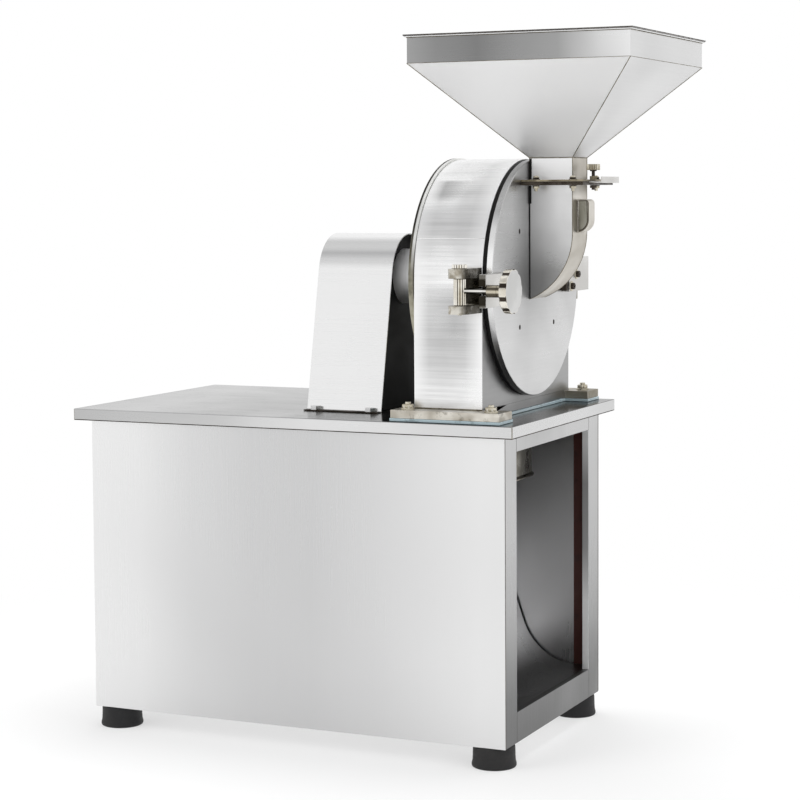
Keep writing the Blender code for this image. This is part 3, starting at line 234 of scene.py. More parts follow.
# %% [markdown]
# Tool marks are smears and fine scores that run askew to the grain. Grime is a thin film with darker spots in
# it.

# %% Tool marks and grime as node groups
tree, given, put = new_group("tool_marks", {"Size": 30.0}, ["Mark", "Scratch"])
smear = noise(tree, given["Vector"], given["Size"], 5.0, 0.6, 0.8)
turned_way = add_node(tree, "ShaderNodeMapping", {"Rotation": (0.4, 0.7, 0.9), "Scale": (260, 9, 40)},
                      {"Vector": given["Vector"]})
scored = noise(tree, turned_way.outputs[0], 1.0, 2.0, 0.4)
tree.links.new(remap(tree, smear, 0.55, 0.75), put["Mark"])
tree.links.new(remap(tree, scored, 0.70, 0.76), put["Scratch"])
tool_marks = tree

tree, given, put = new_group("grime", {"Size": 40.0}, ["Spots", "Film"])
spots = noise(tree, given["Vector"], given["Size"], 8.0, 0.7)
film = noise(tree, given["Vector"], times(tree, given["Size"], 0.15), 3.0, 0.6, 0.5)
tree.links.new(remap(tree, spots, 0.52, 0.66), put["Spots"])
tree.links.new(remap(tree, film, 0.40, 0.70), put["Film"])
grime = tree
print("groups:", ", ".join(sorted(group.name for group in bpy.data.node_groups)))

# %% [markdown]
# ## Metal finishes
# Bare steel is one Principled shader with Metallic at 1. What makes it read as sheet, turned bar or ground
# plate is how colour and roughness follow the grain, so one function takes the grain's stretch and the depth
# of each effect. Polished sheet also mirrors the dark room in front of it. Those broad dim patches, and a few
# bright ones, are painted into the colour as painted reflection, shade and highlight, each a colour held by
# masks along one axis or more.


# %% A function for bare metal
def metal(name, colour, shade, rough, stretch, cloud, grain, bump, marks, soil=None, soiled=0.0, painted_light=()):
    """Bare metal: its bright colour and darker shade, its range of roughness, its effects and its painted
    light.
    """
    colour, shade = tone(colour), tone(shade)
    look = bpy.data.materials.new(name)
    look.use_nodes = True
    look.diffuse_color = (*colour, 1)
    tree = look.node_tree
    shader = tree.nodes["Principled BSDF"]
    shader.inputs["Metallic"].default_value = 1.0
    spot = add_node(tree, "ShaderNodeTexCoord").outputs["Object"]
    lines = effect(tree, brushed_grain, spot, {"Stretch": stretch})
    clouds = effect(tree, cloudy_polish, spot, {"Size": cloud})
    worn = effect(tree, tool_marks, spot)
    dim = tuple(part * (1 - grain) for part in colour)
    surface = blend(tree, clouds["Cloud"], colour, shade)
    surface = blend(tree, times(tree, lines["Grain"], grain), surface, dim)
    surface = blend(tree, times(tree, lines["Band"], grain * 0.8), surface, dim)
    if soil:
        dirt = effect(tree, grime, spot)
        covered = times(tree, dirt["Spots"], soiled)
        covered = compute(tree, "MAXIMUM", covered, times(tree, dirt["Film"], soiled * 0.6))
        surface = blend(tree, covered, surface, soil)
        bare = compute(tree, "SUBTRACT", 1.0, times(tree, covered, 0.7))
        tree.links.new(bare, shader.inputs["Metallic"])
    # Painted light and shade: each painted tone is laid over the colour by masks along the axes.
    for painted_tone, spread in painted_light:
        mask = 1.0
        for axis, stops in spread.items():
            mask = times(tree, along(tree, spot, axis, stops), mask)
        surface = blend(tree, mask, surface, tone(painted_tone))
    tree.links.new(surface, shader.inputs["Base Color"])
    dull = remap(tree, clouds["Cloud"], 0, 1, rough[0], rough[1])
    dull = compute(tree, "ADD", dull, times(tree, lines["Grain"], 0.06))
    dull = compute(tree, "ADD", dull, times(tree, worn["Mark"], marks * 0.5))
    tree.links.new(dull, shader.inputs["Roughness"])
    scored = times(tree, worn["Scratch"], marks * 2)
    height = compute(tree, "SUBTRACT", lines["Grain"], scored)
    relief = add_node(tree, "ShaderNodeBump", {"Strength": bump, "Distance": 0.0002}, {"Height": height})
    tree.links.new(relief.outputs[0], shader.inputs["Normal"])
    return look


print("bare metal ready")

# %% [markdown]
# ## The cabinet's sheets
# All the sheets are the same stainless steel, but each faces another part of the room, and what each mirrors
# is painted into its colour. The front panel has a dim painted reflection in its middle, the bay's frame is
# painted darker towards the floor as shade, and the table is painted dark as a reflection, darker to the
# right.

# %% Sheets of the cabinet
# Each finish: name, bright colour, darker shade, roughness, the grain's stretch, then the size of the clouds
# and the depth of grain, relief and marks. A plain number is a grey. The painted light and shade follow, as
# places and amounts along an axis.
ALONG_X, UPRIGHT = (3, 60, 420), (420, 420, 3)
sheet_steel = metal("satin_sheet", 0.90, 0.85, (0.22, 0.30), ALONG_X, 1.6, 0.03, 0.03, 0.04)
# The front panel's grey patch in its middle is painted reflection, and its darker foot is painted shade.
panel_steel = metal("panel_sheet", 0.86, 0.80, (0.26, 0.33), UPRIGHT, 1.2, 0.02, 0.02, 0.04, painted_light=[
    ((0.50, 0.50, 0.505), {X: [(-0.41, 0), (-0.31, 0.08), (-0.20, 0.42), (-0.08, 0.62), (0.04, 0.66),
                               (0.16, 0.48), (0.28, 0.18), (0.36, 0), (0.41, 0)]}),
    (0.40, {Z: [(0.04, 0.15), (0.58, 0)]})])
# The grey band high on the guard is a painted reflection.
guard_steel = metal("guard_sheet", 0.87, 0.83, (0.22, 0.30), ALONG_X, 1.6, 0.03, 0.03, 0.04, painted_light=[
    (0.42, {Z: [(0.862, 0), (0.872, 0.50), (0.892, 0.60), (0.901, 0)]})])
# The skirt is painted darker to the right as a reflection.
skirt_steel = metal("skirt_sheet", 0.86, 0.80, (0.24, 0.32), (3, 300, 300), 3.0, 0.04, 0.03, 0.05, painted_light=[
    (0.30, {X: [(-0.43, 0.60), (-0.30, 0.55), (-0.12, 0.42), (0.05, 0.15), (0.20, 0.20), (0.43, 0.32)]})])
# The surround's front is painted darker than the other sheets, near black towards the floor, as shade.
surround_steel = metal("surround_sheet", 0.60, 0.55, (0.26, 0.36), (300, 300, 4), 4.0, 0.06, 0.05, 0.08,
                       painted_light=[
    (0.10, {Z: [(0.04, 0.86), (0.12, 0.80), (0.25, 0.46), (0.40, 0.18), (0.58, 0.04)]})])
# The returns are painted paler than the front as light, with a grey band of painted shade at mid height.
return_steel = metal("surround_return", 0.96, 0.86, (0.62, 0.70), (300, 300, 4), 4.0, 0.06, 0.05, 0.08,
                     painted_light=[
    (0.20, {Z: [(0.22, 0), (0.32, 0.6), (0.44, 0.7), (0.52, 0.1)]})])
# The liner is painted near black towards its top and dark at its foot, as the shade in the bay.
liner_steel = metal("liner_sheet", (0.72, 0.72, 0.73), (0.56, 0.56, 0.57), (0.22, 0.34), (420, 420, 4), 2.5,
                    0.15, 0.08, 0.12, painted_light=[
    ((0.02, 0.02, 0.022), {Z: [(0.10, 0.70), (0.15, 0.10), (0.27, 0.12), (0.36, 0.62), (0.46, 0.93),
                               (0.55, 0.985)]})])
# The table is painted darker than the other sheets, and darker still to the right, as a reflection of the
# dark room and the guard.
table_steel = metal("table_sheet", 0.52, 0.45, (0.10, 0.18), (4, 300, 300), 3.0, 0.06, 0.03, 0.10, painted_light=[
    (0.14, {X: [(-0.43, 0), (-0.16, 0.04), (-0.02, 0.25), (0.06, 0.72), (0.12, 0.88), (0.43, 0.82)]})])
table_steel.node_tree.nodes["Principled BSDF"].inputs["Specular Tint"].default_value = (0.80, 0.80, 0.80, 1)
print("cabinet sheets:", len(bpy.data.materials))

# %% [markdown]
# ## The hopper's and the chute's sheets
# The hopper's front and its left side are one satin sheet in two tones: the front is bright, and the side,
# which turns away from the light, is a darker copy as painted shade. Its upright band has the room's
# reflection painted on it in steps. The chute and its strip are handled more, so they are duller and a little
# yellow, and the shade on the chute's side and under its flange is painted into their colour.

# %% Sheets of the hopper and the chute
# Front and side: one sheet, the side painted darker as shade.
hopper_front = metal("hopper_front", 0.99, 0.96, (0.46, 0.54), ALONG_X, 3.0, 0.02, 0.02, 0.04)
hopper_side = metal("hopper_side", 0.72, 0.64, (0.30, 0.40), (60, 3, 420), 3.0, 0.03, 0.03, 0.04)
# The band's steps along X are a painted reflection of the room.
band_steel = metal("hopper_band", 0.88, 0.80, (0.24, 0.34), (2, 60, 300), 4.0, 0.10, 0.05, 0.06, painted_light=[
    (0.12, {X: [(0.21, 0.62), (0.27, 0.78), (0.345, 0.86), (0.42, 0.74), (0.49, 0.66), (0.565, 0.22),
                (0.62, 0)]})])
# The chute's side is painted darker towards its back and bottom as shade.
chute_steel = metal("chute_sheet", 0.84, 0.74, (0.24, 0.36), (6, 300, 300), 9.0, 0.10, 0.08, 0.12, painted_light=[
    (0.13, {X: [(0.3758, 1), (0.40, 0.95), (0.43, 0.55), (0.456, 0.35)],
            Z: [(0.79, 0.78), (0.84, 0.70), (0.875, 0.45), (0.92, 0.12), (0.96, 0)]})])
# The dark band at the strip's top, just under the flange, is painted shade.
strip_steel = metal("chute_strip", (0.66, 0.63, 0.575), (0.48, 0.45, 0.395), (0.28, 0.42), (200, 8, 40), 12.0,
                    0.18, 0.12, 0.20, painted_light=[
    ((0.10, 0.09, 0.07), {Z: [(0.972, 0), (0.982, 0.35), (0.998, 0.6), (1.006, 0)]})])
trim_steel = metal("trim_sheet", (0.72, 0.71, 0.69), (0.60, 0.59, 0.57), (0.24, 0.34), (5, 5, 320), 8.0, 0.15,
                   0.08, 0.15)
# The spout is painted near black towards +Y as shade on its far side.
spout_steel = metal("spout_sheet", (0.62, 0.58, 0.50), (0.30, 0.27, 0.21), (0.22, 0.40), (40, 40, 8), 26.0,
                    0.35, 0.20, 0.30, painted_light=[
    ((0.03, 0.028, 0.02), {Y: [(-0.10, 0), (-0.06, 0.2), (0.0, 0.9), (0.10, 1)]})])
flange_edge = metal("flange_edge", (0.40, 0.35, 0.25), (0.13, 0.11, 0.07), (0.30, 0.45), (60, 60, 300), 40.0,
                    0.30, 0.20, 0.25)
print("sheets in all:", len(bpy.data.materials))

# %% [markdown]
# ## The chamber's and the door's plates
# The shell is brushed round its arch, so its grain runs along the axis and breaks its gloss into fine bands;
# broader bands of light and shade are painted over it.
# The edge of the back plate is ground and has tarnished; its top is painted near black as shade, with a
# painted highlight high on the half next to the shell. The door is brushed straight across, with a turned rim
# whose brightness is a painted highlight.

# %% Plates of the chamber and the door
# The shell's painted light: a painted shadow beside the latch, painted reflection bands and a grey painted
# reflection on its upper arch, and painted highlights along both ends.
shell_steel = metal("brushed_shell", 0.98, 0.80, (0.24, 0.36), (5, 260, 260), 9.0, 0.42, 0.22, 0.25, painted_light=[
    (0.25, {X: [(0.230, 0.1), (0.250, 0.45), (0.305, 0.9), (0.345, 0.6), (0.357, 0)],
            Z: [(0.66, 0), (0.70, 0.30), (0.745, 0.65), (0.785, 0.60), (0.815, 0.35), (0.828, 0)]}),
    (0.45, {Z: [(0.905, 0), (0.912, 0.14), (0.920, 0), (0.928, 0.16), (0.936, 0), (0.944, 0.18), (0.950, 0),
                (0.956, 0.2), (0.962, 0)],
            X: [(0.232, 0), (0.245, 1), (0.320, 0.8), (0.350, 0)]}),
    (0.34, {X: [(0.230, 0.3), (0.255, 0.9), (0.29, 0.40), (0.32, 0)],
            Z: [(0.962, 0), (0.975, 0.85), (0.998, 0.85), (1.003, 0)]}),
    (0.96, {X: [(0.230, 0.9), (0.240, 0.6), (0.258, 0), (0.325, 0), (0.345, 0.6), (0.357, 0.9)]})])
# The shell's front is painted darker than its arch, and darker still towards its foot, as shade.
front_steel = metal("shell_front", 0.64, 0.52, (0.28, 0.38), (300, 5, 300), 5.0, 0.12, 0.12, 0.15, painted_light=[
    (0.10, {Z: [(0.595, 0.45), (0.63, 0.55), (0.68, 0.50), (0.74, 0.18), (0.82, 0)]})])
# The olive is tarnish; the near-black top and the pale strip beside the shell are painted shade and
# highlight.
plate_edge = metal("plate_edge", (0.42, 0.40, 0.32), (0.17, 0.155, 0.10), (0.28, 0.42), (120, 120, 120), 34.0,
                   0.30, 0.25, 0.30, (0.03, 0.026, 0.015), 0.55, painted_light=[
    ((0.015, 0.013, 0.010), {Z: [(0.80, 0), (0.88, 0.55), (0.93, 0.93), (1.05, 0.95)]}),
    ((0.88, 0.88, 0.86), {X: [(0.2245, 0), (0.2258, 0.95), (0.2297, 0.95)],
                          Z: [(0.84, 0), (0.90, 0.95), (1.05, 1)]})])
# The darker patch over the door's upper middle is painted shade.
door_steel = metal("brushed_door", 0.70, 0.61, (0.26, 0.36), (330, 5, 330), 5.0, 0.16, 0.12, 0.15, painted_light=[
    (0.26, {Y: [(-0.21, 0.15), (-0.12, 0.25), (-0.05, 0.9), (0.04, 0.6), (0.10, 0.35), (0.21, 0.40)],
            Z: [(0.62, 0.05), (0.72, 0.12), (0.80, 0.6), (0.92, 0.85), (1.04, 0.9)]})])
# The rim's brightness is a painted highlight, and its dark top and bottom are painted shade.
rim_steel = metal("door_rim", 0.95, 0.86, (0.20, 0.28), (300, 6, 6), 5.0, 0.10, 0.08, 0.10, painted_light=[
    (0.10, {Z: [(0.61, 0.85), (0.70, 0.75), (0.76, 0.45), (0.80, 0.1), (0.83, 0), (0.92, 0), (0.95, 0.5),
                (1.04, 0.78)]})])
# The sunk face's dark, greenish colour is painted reflection and shade, with real grime.
sunk_face_grime_and_shade = metal("sunk_face_grime_and_shade", (0.40, 0.39, 0.34), (0.24, 0.23, 0.18), (0.30, 0.46), (120, 120, 120),
                     14.0, 0.30, 0.25, 0.30, (0.10, 0.085, 0.05), 0.45)
print("finishes so far:", len(bpy.data.materials))

# %% [markdown]
# ## Castings, bars and turned parts
# Small parts are older and yellower than the sheets. Turned bar mirrors the room as stripes along its axis,
# which the hub and the rod take from stops across their height as painted reflections. Seams take a colour
# close to black, and recesses take the same colour as painted shade.

# %% Castings, bars and turned parts
# The dark tint on the far bar's front end is painted shade.
cast_bar = metal("base_bar", (0.80, 0.77, 0.70), (0.48, 0.44, 0.37), (0.28, 0.44), (14, 60, 200), 22.0, 0.35,
                 0.35, 0.35, (0.10, 0.075, 0.04), 0.60, painted_light=[
    ((0.16, 0.14, 0.09), {X: [(0.350, 0), (0.362, 0.65)],
                          Y: [(0.170, 0), (0.190, 1)]})])
polished_steel = metal("polished_steel", (0.90, 0.87, 0.80), (0.66, 0.61, 0.51), (0.10, 0.20), (60, 60, 60),
                       30.0, 0.20, 0.08, 0.20)
# The lugs' tints are painted shade: near black in the gap between them and towards their far side.
aged_lug_and_shade = metal("aged_lug_and_shade", (0.88, 0.85, 0.77), (0.42, 0.37, 0.28), (0.16, 0.40), (70, 70, 70), 90.0, 0.25,
                 0.45, 0.35, (0.06, 0.045, 0.022), 0.70, painted_light=[
    ((0.012, 0.010, 0.006), {Z: [(0.7905, 0), (0.7935, 0.97), (0.8355, 0.97), (0.8385, 0)]}),
    ((0.020, 0.016, 0.010), {X: [(0.342, 0), (0.352, 0.80), (0.372, 0.80)]})])
LATCH_Z = 0.8165  # the height of the clamping rod
# Painted reflection: the room's stripes across the hub's height.
REFLECTION_STRIPES = [(-0.0105, 0.95), (-0.0038, 0.93), (-0.0022, 0.10), (0.0010, 0.05), (0.0024, 0.85), (0.0058, 0.90),
           (0.0076, 0.30), (0.0105, 0.90)]
hub_steel = metal("hub_steel", (0.88, 0.84, 0.74), (0.60, 0.54, 0.42), (0.12, 0.22), (60, 60, 60), 30.0, 0.20,
                  0.08, 0.20, painted_light=[
    ((0.05, 0.04, 0.025), {Z: [(LATCH_Z + at, amount) for at, amount in REFLECTION_STRIPES]})])
# The rod's dark lines beside a thin bright middle are painted reflection.
rod_steel = metal("rod_steel", (0.92, 0.91, 0.88), (0.75, 0.73, 0.68), (0.10, 0.18), (60, 60, 60), 30.0, 0.1,
                  0.05, 0.1, painted_light=[
    ((0.02, 0.018, 0.012), {Z: [(0.8115, 1), (0.8148, 0.9), (0.8160, 0), (0.8178, 0), (0.8190, 0.9),
                                (0.8215, 1)]})])
turned_steel = metal("turned_steel", 0.95, 0.78, (0.56, 0.66), (260, 4, 4), 9.0, 0.30, 0.12, 0.15)
tool_steel = metal("tool_steel", (0.46, 0.45, 0.44), (0.34, 0.33, 0.32), (0.26, 0.42), (90, 90, 90), 20.0,
                   0.30, 0.25, 0.35)
zinc_plate = metal("zinc_plate", (0.74, 0.70, 0.59), (0.46, 0.41, 0.30), (0.18, 0.34), (90, 90, 90), 60.0,
                   0.25, 0.15, 0.25)
weld_metal = metal("weld_metal", (0.30, 0.27, 0.21), (0.13, 0.11, 0.07), (0.30, 0.50), (500, 500, 500), 60.0,
                   0.40, 0.50, 0.30)
# Near black: the colour of seams, and painted shade in recesses.
near_black_and_shade = metal("near_black_and_shade", (0.075, 0.062, 0.050), (0.035, 0.028, 0.022), (0.35, 0.50), (200, 200, 200),
                  30.0, 0.3, 0.2, 0.2)
cast_iron = metal("cast_iron", (0.22, 0.23, 0.24), (0.13, 0.13, 0.14), (0.42, 0.60), (260, 260, 260), 12.0,
                  0.35, 0.50, 0.30)
print("metals:", len(bpy.data.materials))

# %% [markdown]
# ## Paint and rubber
# Paint and rubber are not metallic, so light enters them and their own colour shows. Sprayed paint has a fine
# orange-peel relief and gathers dust; moulded rubber is duller where it has been handled.


# %% A function for paint and rubber
def coated(name, colour, worn_colour, rough, peel, bump, dust, clear=0.0):
    """Paint or rubber with a fine relief, a film of dust, and patches of another shade."""
    look = bpy.data.materials.new(name)
    look.use_nodes = True
    look.diffuse_color = (*colour, 1)
    tree = look.node_tree
    shader = tree.nodes["Principled BSDF"]
    shader.inputs["Coat Weight"].default_value = clear
    shader.inputs["Coat Roughness"].default_value = 0.15
    spot = add_node(tree, "ShaderNodeTexCoord").outputs["Object"]
    dirt = effect(tree, grime, spot)
    surface = blend(tree, times(tree, dirt["Spots"], 0.6), colour, worn_colour)
    surface = blend(tree, times(tree, dirt["Film"], dust), surface, (0.36, 0.34, 0.31))
    tree.links.new(surface, shader.inputs["Base Color"])
    dull = remap(tree, dirt["Film"], 0, 1, rough[0], rough[1])
    tree.links.new(dull, shader.inputs["Roughness"])
    relief = add_node(tree, "ShaderNodeBump", {"Strength": bump, "Distance": 0.0003},
                      {"Height": noise(tree, spot, peel, 3.0, 0.6)})
    tree.links.new(relief.outputs[0], shader.inputs["Normal"])
    return look


print("paint and rubber ready")

# %% [markdown]
# The welded frame keeps its red primer, the plate behind the guard is black, a black that also paints the
# shade inside the guard, and the motor is blue-grey. The pad under the chamber is pale blue rubber. Black
# rubber and black paint are given little gloss, or they turn grey.

# %% The machine's paints and rubbers
primer_red = coated("primer_red", (0.085, 0.020, 0.014), (0.045, 0.012, 0.010), (0.45, 0.70), 300, 0.35, 0.06)
black_paint = coated("black_paint", (0.005, 0.0055, 0.006), (0.009, 0.009, 0.010), (0.60, 0.74), 500, 0.25,
                     0.03)
motor_paint = coated("motor_paint", (0.045, 0.085, 0.110), (0.030, 0.060, 0.080), (0.32, 0.50), 420, 0.30,
                     0.10, 0.2)
black_rubber = coated("black_rubber", (0.014, 0.014, 0.015), (0.022, 0.021, 0.020), (0.55, 0.75), 800, 0.30,
                      0.05)
belt_rubber = coated("belt_rubber", (0.020, 0.020, 0.021), (0.035, 0.034, 0.032), (0.60, 0.80), 900, 0.40,
                     0.12)
# The gasket's black rubber also paints contact shadow, here and behind the chute.
gasket_rubber = coated("gasket_rubber", (0.006, 0.006, 0.006), (0.012, 0.012, 0.012), (0.45, 0.60), 700, 0.20,
                       0.02)
pad_rubber = coated("pad_rubber", (0.47, 0.60, 0.65), (0.20, 0.27, 0.29), (0.25, 0.42), 200, 0.10, 0.20, 0.3)
for look, gloss in ((gasket_rubber, 0.12), (black_paint, 0.22), (black_rubber, 0.30)):
    look.node_tree.nodes["Principled BSDF"].inputs["Specular IOR Level"].default_value = gloss
print("finishes:", len(bpy.data.materials))

# %% [markdown]
# ## Dressing a solid
# The frame's solids are exact but hard: their triangles are loose and every edge is a knife edge. A copy is
# merged and its flat faces joined, and a narrow live bevel rounds what is sharp. Rounded edges matter more
# than any texture here, because a bright line along each fold is what makes sheet metal read as metal.


# %% Helpers that move and finish a piece
def move(bm, step, verts=None):
    """Moves a bmesh, or some of its points."""
    bmesh.ops.translate(bm, vec=step, verts=verts or bm.verts)


def settle(name, bm, looks, body, nodes=(), edge=0.0, soft=32, segments=2, moved=True):
    """Makes a bmesh a finished piece: smooth, riding on a body, standing for its solids."""
    if moved:
        move(bm, SHIFT)
    mesh = bpy.data.meshes.new(name)
    bm.to_mesh(mesh)
    bm.free()
    mesh.shade_smooth()
    mesh.set_sharp_from_angle(angle=math.radians(soft))
    for look in looks if isinstance(looks, list) else [looks]:
        mesh.materials.append(look)
    piece = bpy.data.objects.new(name, mesh)
    bpy.context.scene.collection.objects.link(piece)
    if edge:
        step = piece.modifiers.new("soft_edges", "BEVEL")
        step.width = edge
        step.segments = segments
        step.limit_method = "ANGLE"
        step.angle_limit = math.radians(soft)
        step.use_clamp_overlap = True
        step.harden_normals = False
        even = piece.modifiers.new("even_faces", "WEIGHTED_NORMAL")
        even.mode = "FACE_AREA"
        even.weight = 80
        even.keep_sharp = True
    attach(piece, body)
    if nodes:
        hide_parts(*nodes)
    return piece


print("finishing helper ready")

# %% [markdown]
# A solid is dressed in one call: its copy is merged, some of its points may be moved, its faces are given
# their looks by where they lie, and the copy stands for the solid.


# %% Helpers that dress a solid
def merged(node):
    """A solid's mesh with its triangles joined up, still in the frame's place."""
    bm = bmesh.new()
    bm.from_mesh(frame["nodes"][node].data)
    bmesh.ops.remove_doubles(bm, verts=bm.verts, dist=2e-6)
    bmesh.ops.dissolve_limit(bm, angle_limit=math.radians(0.4), verts=bm.verts, edges=bm.edges)
    return bm


def dress(node, looks, edge=0.0, soft=32, segments=2, choose=None, step=None):
    """A solid's own shape with soft edges. choose numbers a face's look, and step moves a point."""
    bm = merged(node)
    if step:
        for vert in bm.verts:
            vert.co += Vector(step(vert.co - SHIFT))
    if choose:
        for face in bm.faces:
            face.material_index = choose(face, face.calc_center_median() - SHIFT)
    return settle(f"{node}_finished", bm, looks, frame["nodes"][node]["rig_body"], [node], edge, soft,
                  segments, moved=False)


print("dressing helpers ready")

# %% [markdown]
# ## The cabinet
# Four folded skins stand round a welded angle frame. The long panels are single bright sheets. The open end
# is a frame of strips, whose inner returns face each other across the bay; front and returns are one sheet
# painted in two tones, the front darker as painted shade and the returns paler as painted light.

# %% Panels, frame and floor of the cabinet
dress("front_panel", panel_steel, 0.0007, segments=3)
dress("rear_panel", panel_steel, 0.0007, segments=3)
dress("motor_end_panel", panel_steel, 0.0004)
dress("cabinet_floor", sheet_steel, 0.0005)
dress("end_surround", [surround_steel, return_steel], 0.0009, segments=3,
      choose=lambda face, at: int(abs(face.normal.y) > 0.9 and abs(at.y) < 0.19))
dress("bay_liner", liner_steel)
dress("angle_frame", primer_red, 0.0008)
dress("table_top", [table_steel, skirt_steel], 0.0020, segments=3,
      choose=lambda face, at: int(abs(face.normal.z) < 0.5))
print("cabinet dressed")

# %% [markdown]
# ## Seams of the open end
# The strips of the open end meet in butt joints, which show as hairlines. A thin dark box on the surface
# draws each of them, which is simpler than a real gap between two sheets.


# %% Seams where the rails meet the posts
def box_between(bm, x, y, z):
    """A box between two limits on each axis."""
    limits = [sorted(pair) for pair in (x, y, z)]
    made = bmesh.ops.create_cube(bm, size=1)["verts"]
    bmesh.ops.scale(bm, vec=[high - low for low, high in limits], verts=made)
    move(bm, [(low + high) / 2 for low, high in limits], made)


bm = bmesh.new()
for side in (-1, 1):
    inner = side * 0.1812
    for low, high in ((0.0385, 0.0905), (0.5405, 0.5872)):
        box_between(bm, (0.4066, 0.40715), (inner, inner + side * 0.0006), (low, high))
    box_between(bm, (0.4064, 0.40712), (side * 0.2322, side * 0.2348), (0.0400, 0.5868))
settle("surround_seams", bm, near_black_and_shade, "machine")
print("seams drawn")

# %% [markdown]
# ## The table's corner welds and painted shadow
# The table is a tray: its skirt is folded down on four sides, and each corner is welded and dressed back. A
# short upright bead in each corner, a little darker than the sheet, is all that remains of the weld. Under
# the skirt a thin dark strip paints the shadow that the skirt casts, as one dark line. Under
# the skirt runs a hem, which shows as one dark line.


# %% Corner welds and painted shadow of the table
def bead(bm, paths, radius, closed=False):
    """A round bead along lines of points, swept by a curve and kept as a mesh."""
    curve = bpy.data.curves.new("bead", "CURVE")
    curve.dimensions = "3D"
    curve.bevel_depth = radius
    curve.bevel_resolution = 2
    curve.use_fill_caps = True
    for path in paths:
        line = curve.splines.new("POLY")
        line.points.add(len(path) - 1)
        for point, place in zip(line.points, path):
            point.co = (*place, 1)
        line.use_cyclic_u = closed
    holder = bpy.data.objects.new("bead", curve)
    mesh = bpy.data.meshes.new_from_object(holder)
    bm.from_mesh(mesh)
    bpy.data.objects.remove(holder)
    bpy.data.curves.remove(curve)
    bpy.data.meshes.remove(mesh)


bm = bmesh.new()
weld = 0.0012
for x in (-0.4305, 0.4305):
    for y in (-0.2595, 0.2595):
        place = (x - math.copysign(weld, x), y - math.copysign(weld, y))
        bead(bm, [[(*place, 0.5712), (*place, 0.5898)]], weld)
settle("table_corner_welds", bm, weld_metal, "machine")
# A thin near-black strip under the skirt's edge is painted shadow.
bm = bmesh.new()
shadow_heights = (0.5700, 0.5713)
for side in (-1, 1):
    box_between(bm, (-0.4296, 0.4296), (side * 0.2580, side * 0.2593), shadow_heights)
    box_between(bm, (side * 0.4288, side * 0.4302), (-0.2579, 0.2579), shadow_heights)
settle("skirt_painted_shadow", bm, near_black_and_shade, "machine")
print("table welded and hemmed")

# %% [markdown]
# ## Feet
# Each foot is a moulded rubber bumper. It flares where it stands, has a moulding groove round its waist and a
# screw at its centre that we never see, so the profile is turned once and copied to the four corners.


# %% Rubber feet
def add_in(bm, made):
    """Puts one finished bmesh into another."""
    mesh = bpy.data.meshes.new("step")
    made.to_mesh(mesh)
    made.free()
    bm.from_mesh(mesh)
    bpy.data.meshes.remove(mesh)


def spun(bm, profile, centre, axis="X", segments=64):
    """A profile of (along, radius) points turned round the X or Z axis through the centre."""
    made = bmesh.new()
    points = [made.verts.new((along, 0, radius)) for along, radius in profile]
    pairs = list(zip(points, points[1:]))
    if profile[0][1] > 0:
        pairs.append((points[-1], points[0]))
    edges = [made.edges.new(pair) for pair in pairs]
    bmesh.ops.spin(made, geom=points + edges, axis=(1, 0, 0), angle=2 * math.pi, steps=segments,
                   use_merge=True)
    bmesh.ops.remove_doubles(made, verts=made.verts, dist=1e-6)
    bmesh.ops.recalc_face_normals(made, faces=made.faces)
    if axis == "Z":
        bmesh.ops.rotate(made, matrix=Matrix.Rotation(-math.pi / 2, 3, "Y"), verts=made.verts)
    move(made, centre)
    add_in(bm, made)


foot = [(0, 0), (0, 0.0362), (0.0008, 0.0376), (0.0022, 0.0385), (0.0052, 0.0387), (0.0075, 0.0382),
        (0.0108, 0.0372), (0.0180, 0.0369), (0.0188, 0.0366), (0.0200, 0.0366), (0.0208, 0.0368),
        (0.0350, 0.0364), (0.0368, 0.0354), (0.0376, 0.0340), (0.0377, 0)]
for name, x, y in (("front_left", -1, -1), ("front_right", 1, -1), ("rear_left", -1, 1),
                   ("rear_right", 1, 1)):
    bm = bmesh.new()
    spun(bm, foot, (x * 0.3723, y * 0.2013, 0), "Z", 72)
    settle(f"{name}_rubber_foot", bm, black_rubber, "machine", [f"foot_{name}"], soft=50)
print("feet turned")

# %% [markdown]
# ## The belt guard, the spindle housing and the drive
# The guard is one sheet arched over the belts, with its feet folded out and bolted down; its lowest faces, on
# the feet, are dark. Behind it a black plate closes the end round the bearing housing, and its black also
# paints the shade inside the guard. The housing is turned bar, with a cast flange that keeps its dark skin,
# so its faces are told apart by their distance from the spindle.

# %% Guard, housing and drive
SPINDLE = 0.829  # its height
dress("belt_guard", [guard_steel, near_black_and_shade], 0.0006, soft=30,
      choose=lambda face, at: int(at.z < 0.5934))
# The plate's black also stands for the shade inside the guard: painted shade.
dress("guard_back_plate", black_paint, 0.0004)
dress("bearing_housing", [turned_steel, cast_iron], 0.0008,
      choose=lambda face, at: int(math.hypot(at.y, at.z - SPINDLE) > 0.0512))
dress("bearing_cap", cast_iron, 0.0006)
for node in ("rear_bearing", "front_bearing"):
    dress(node, polished_steel, 0.0006)
for node in ("spindle_pulley", "motor_pulley"):
    dress(node, cast_iron, 0.0004)
for node in ("spindle_shaft", "pulley_nut", "rotor_nut", "motor_shaft"):
    dress(node, tool_steel, 0.0005)
dress("drive_belt", belt_rubber, 0.0004, soft=25)
print("guard and drive dressed")

# %% [markdown]
# ## The guard's bolts
# A hexagon head is a six-sided cone of equal radii whose corners are turned off with a small bevel. It sits
# on a washer that is turned like any round part, and here both are nearly black.


# %% Guard bolts
def cut_ends(made, size, segments):
    """Bevels the level edges of an upright shape."""
    ends = [edge for edge in made.edges if abs(edge.verts[0].co.z - edge.verts[1].co.z) < 1e-7]
    bmesh.ops.bevel(made, geom=ends, offset=size, segments=segments, profile=0.5, affect="EDGES", material=-1)


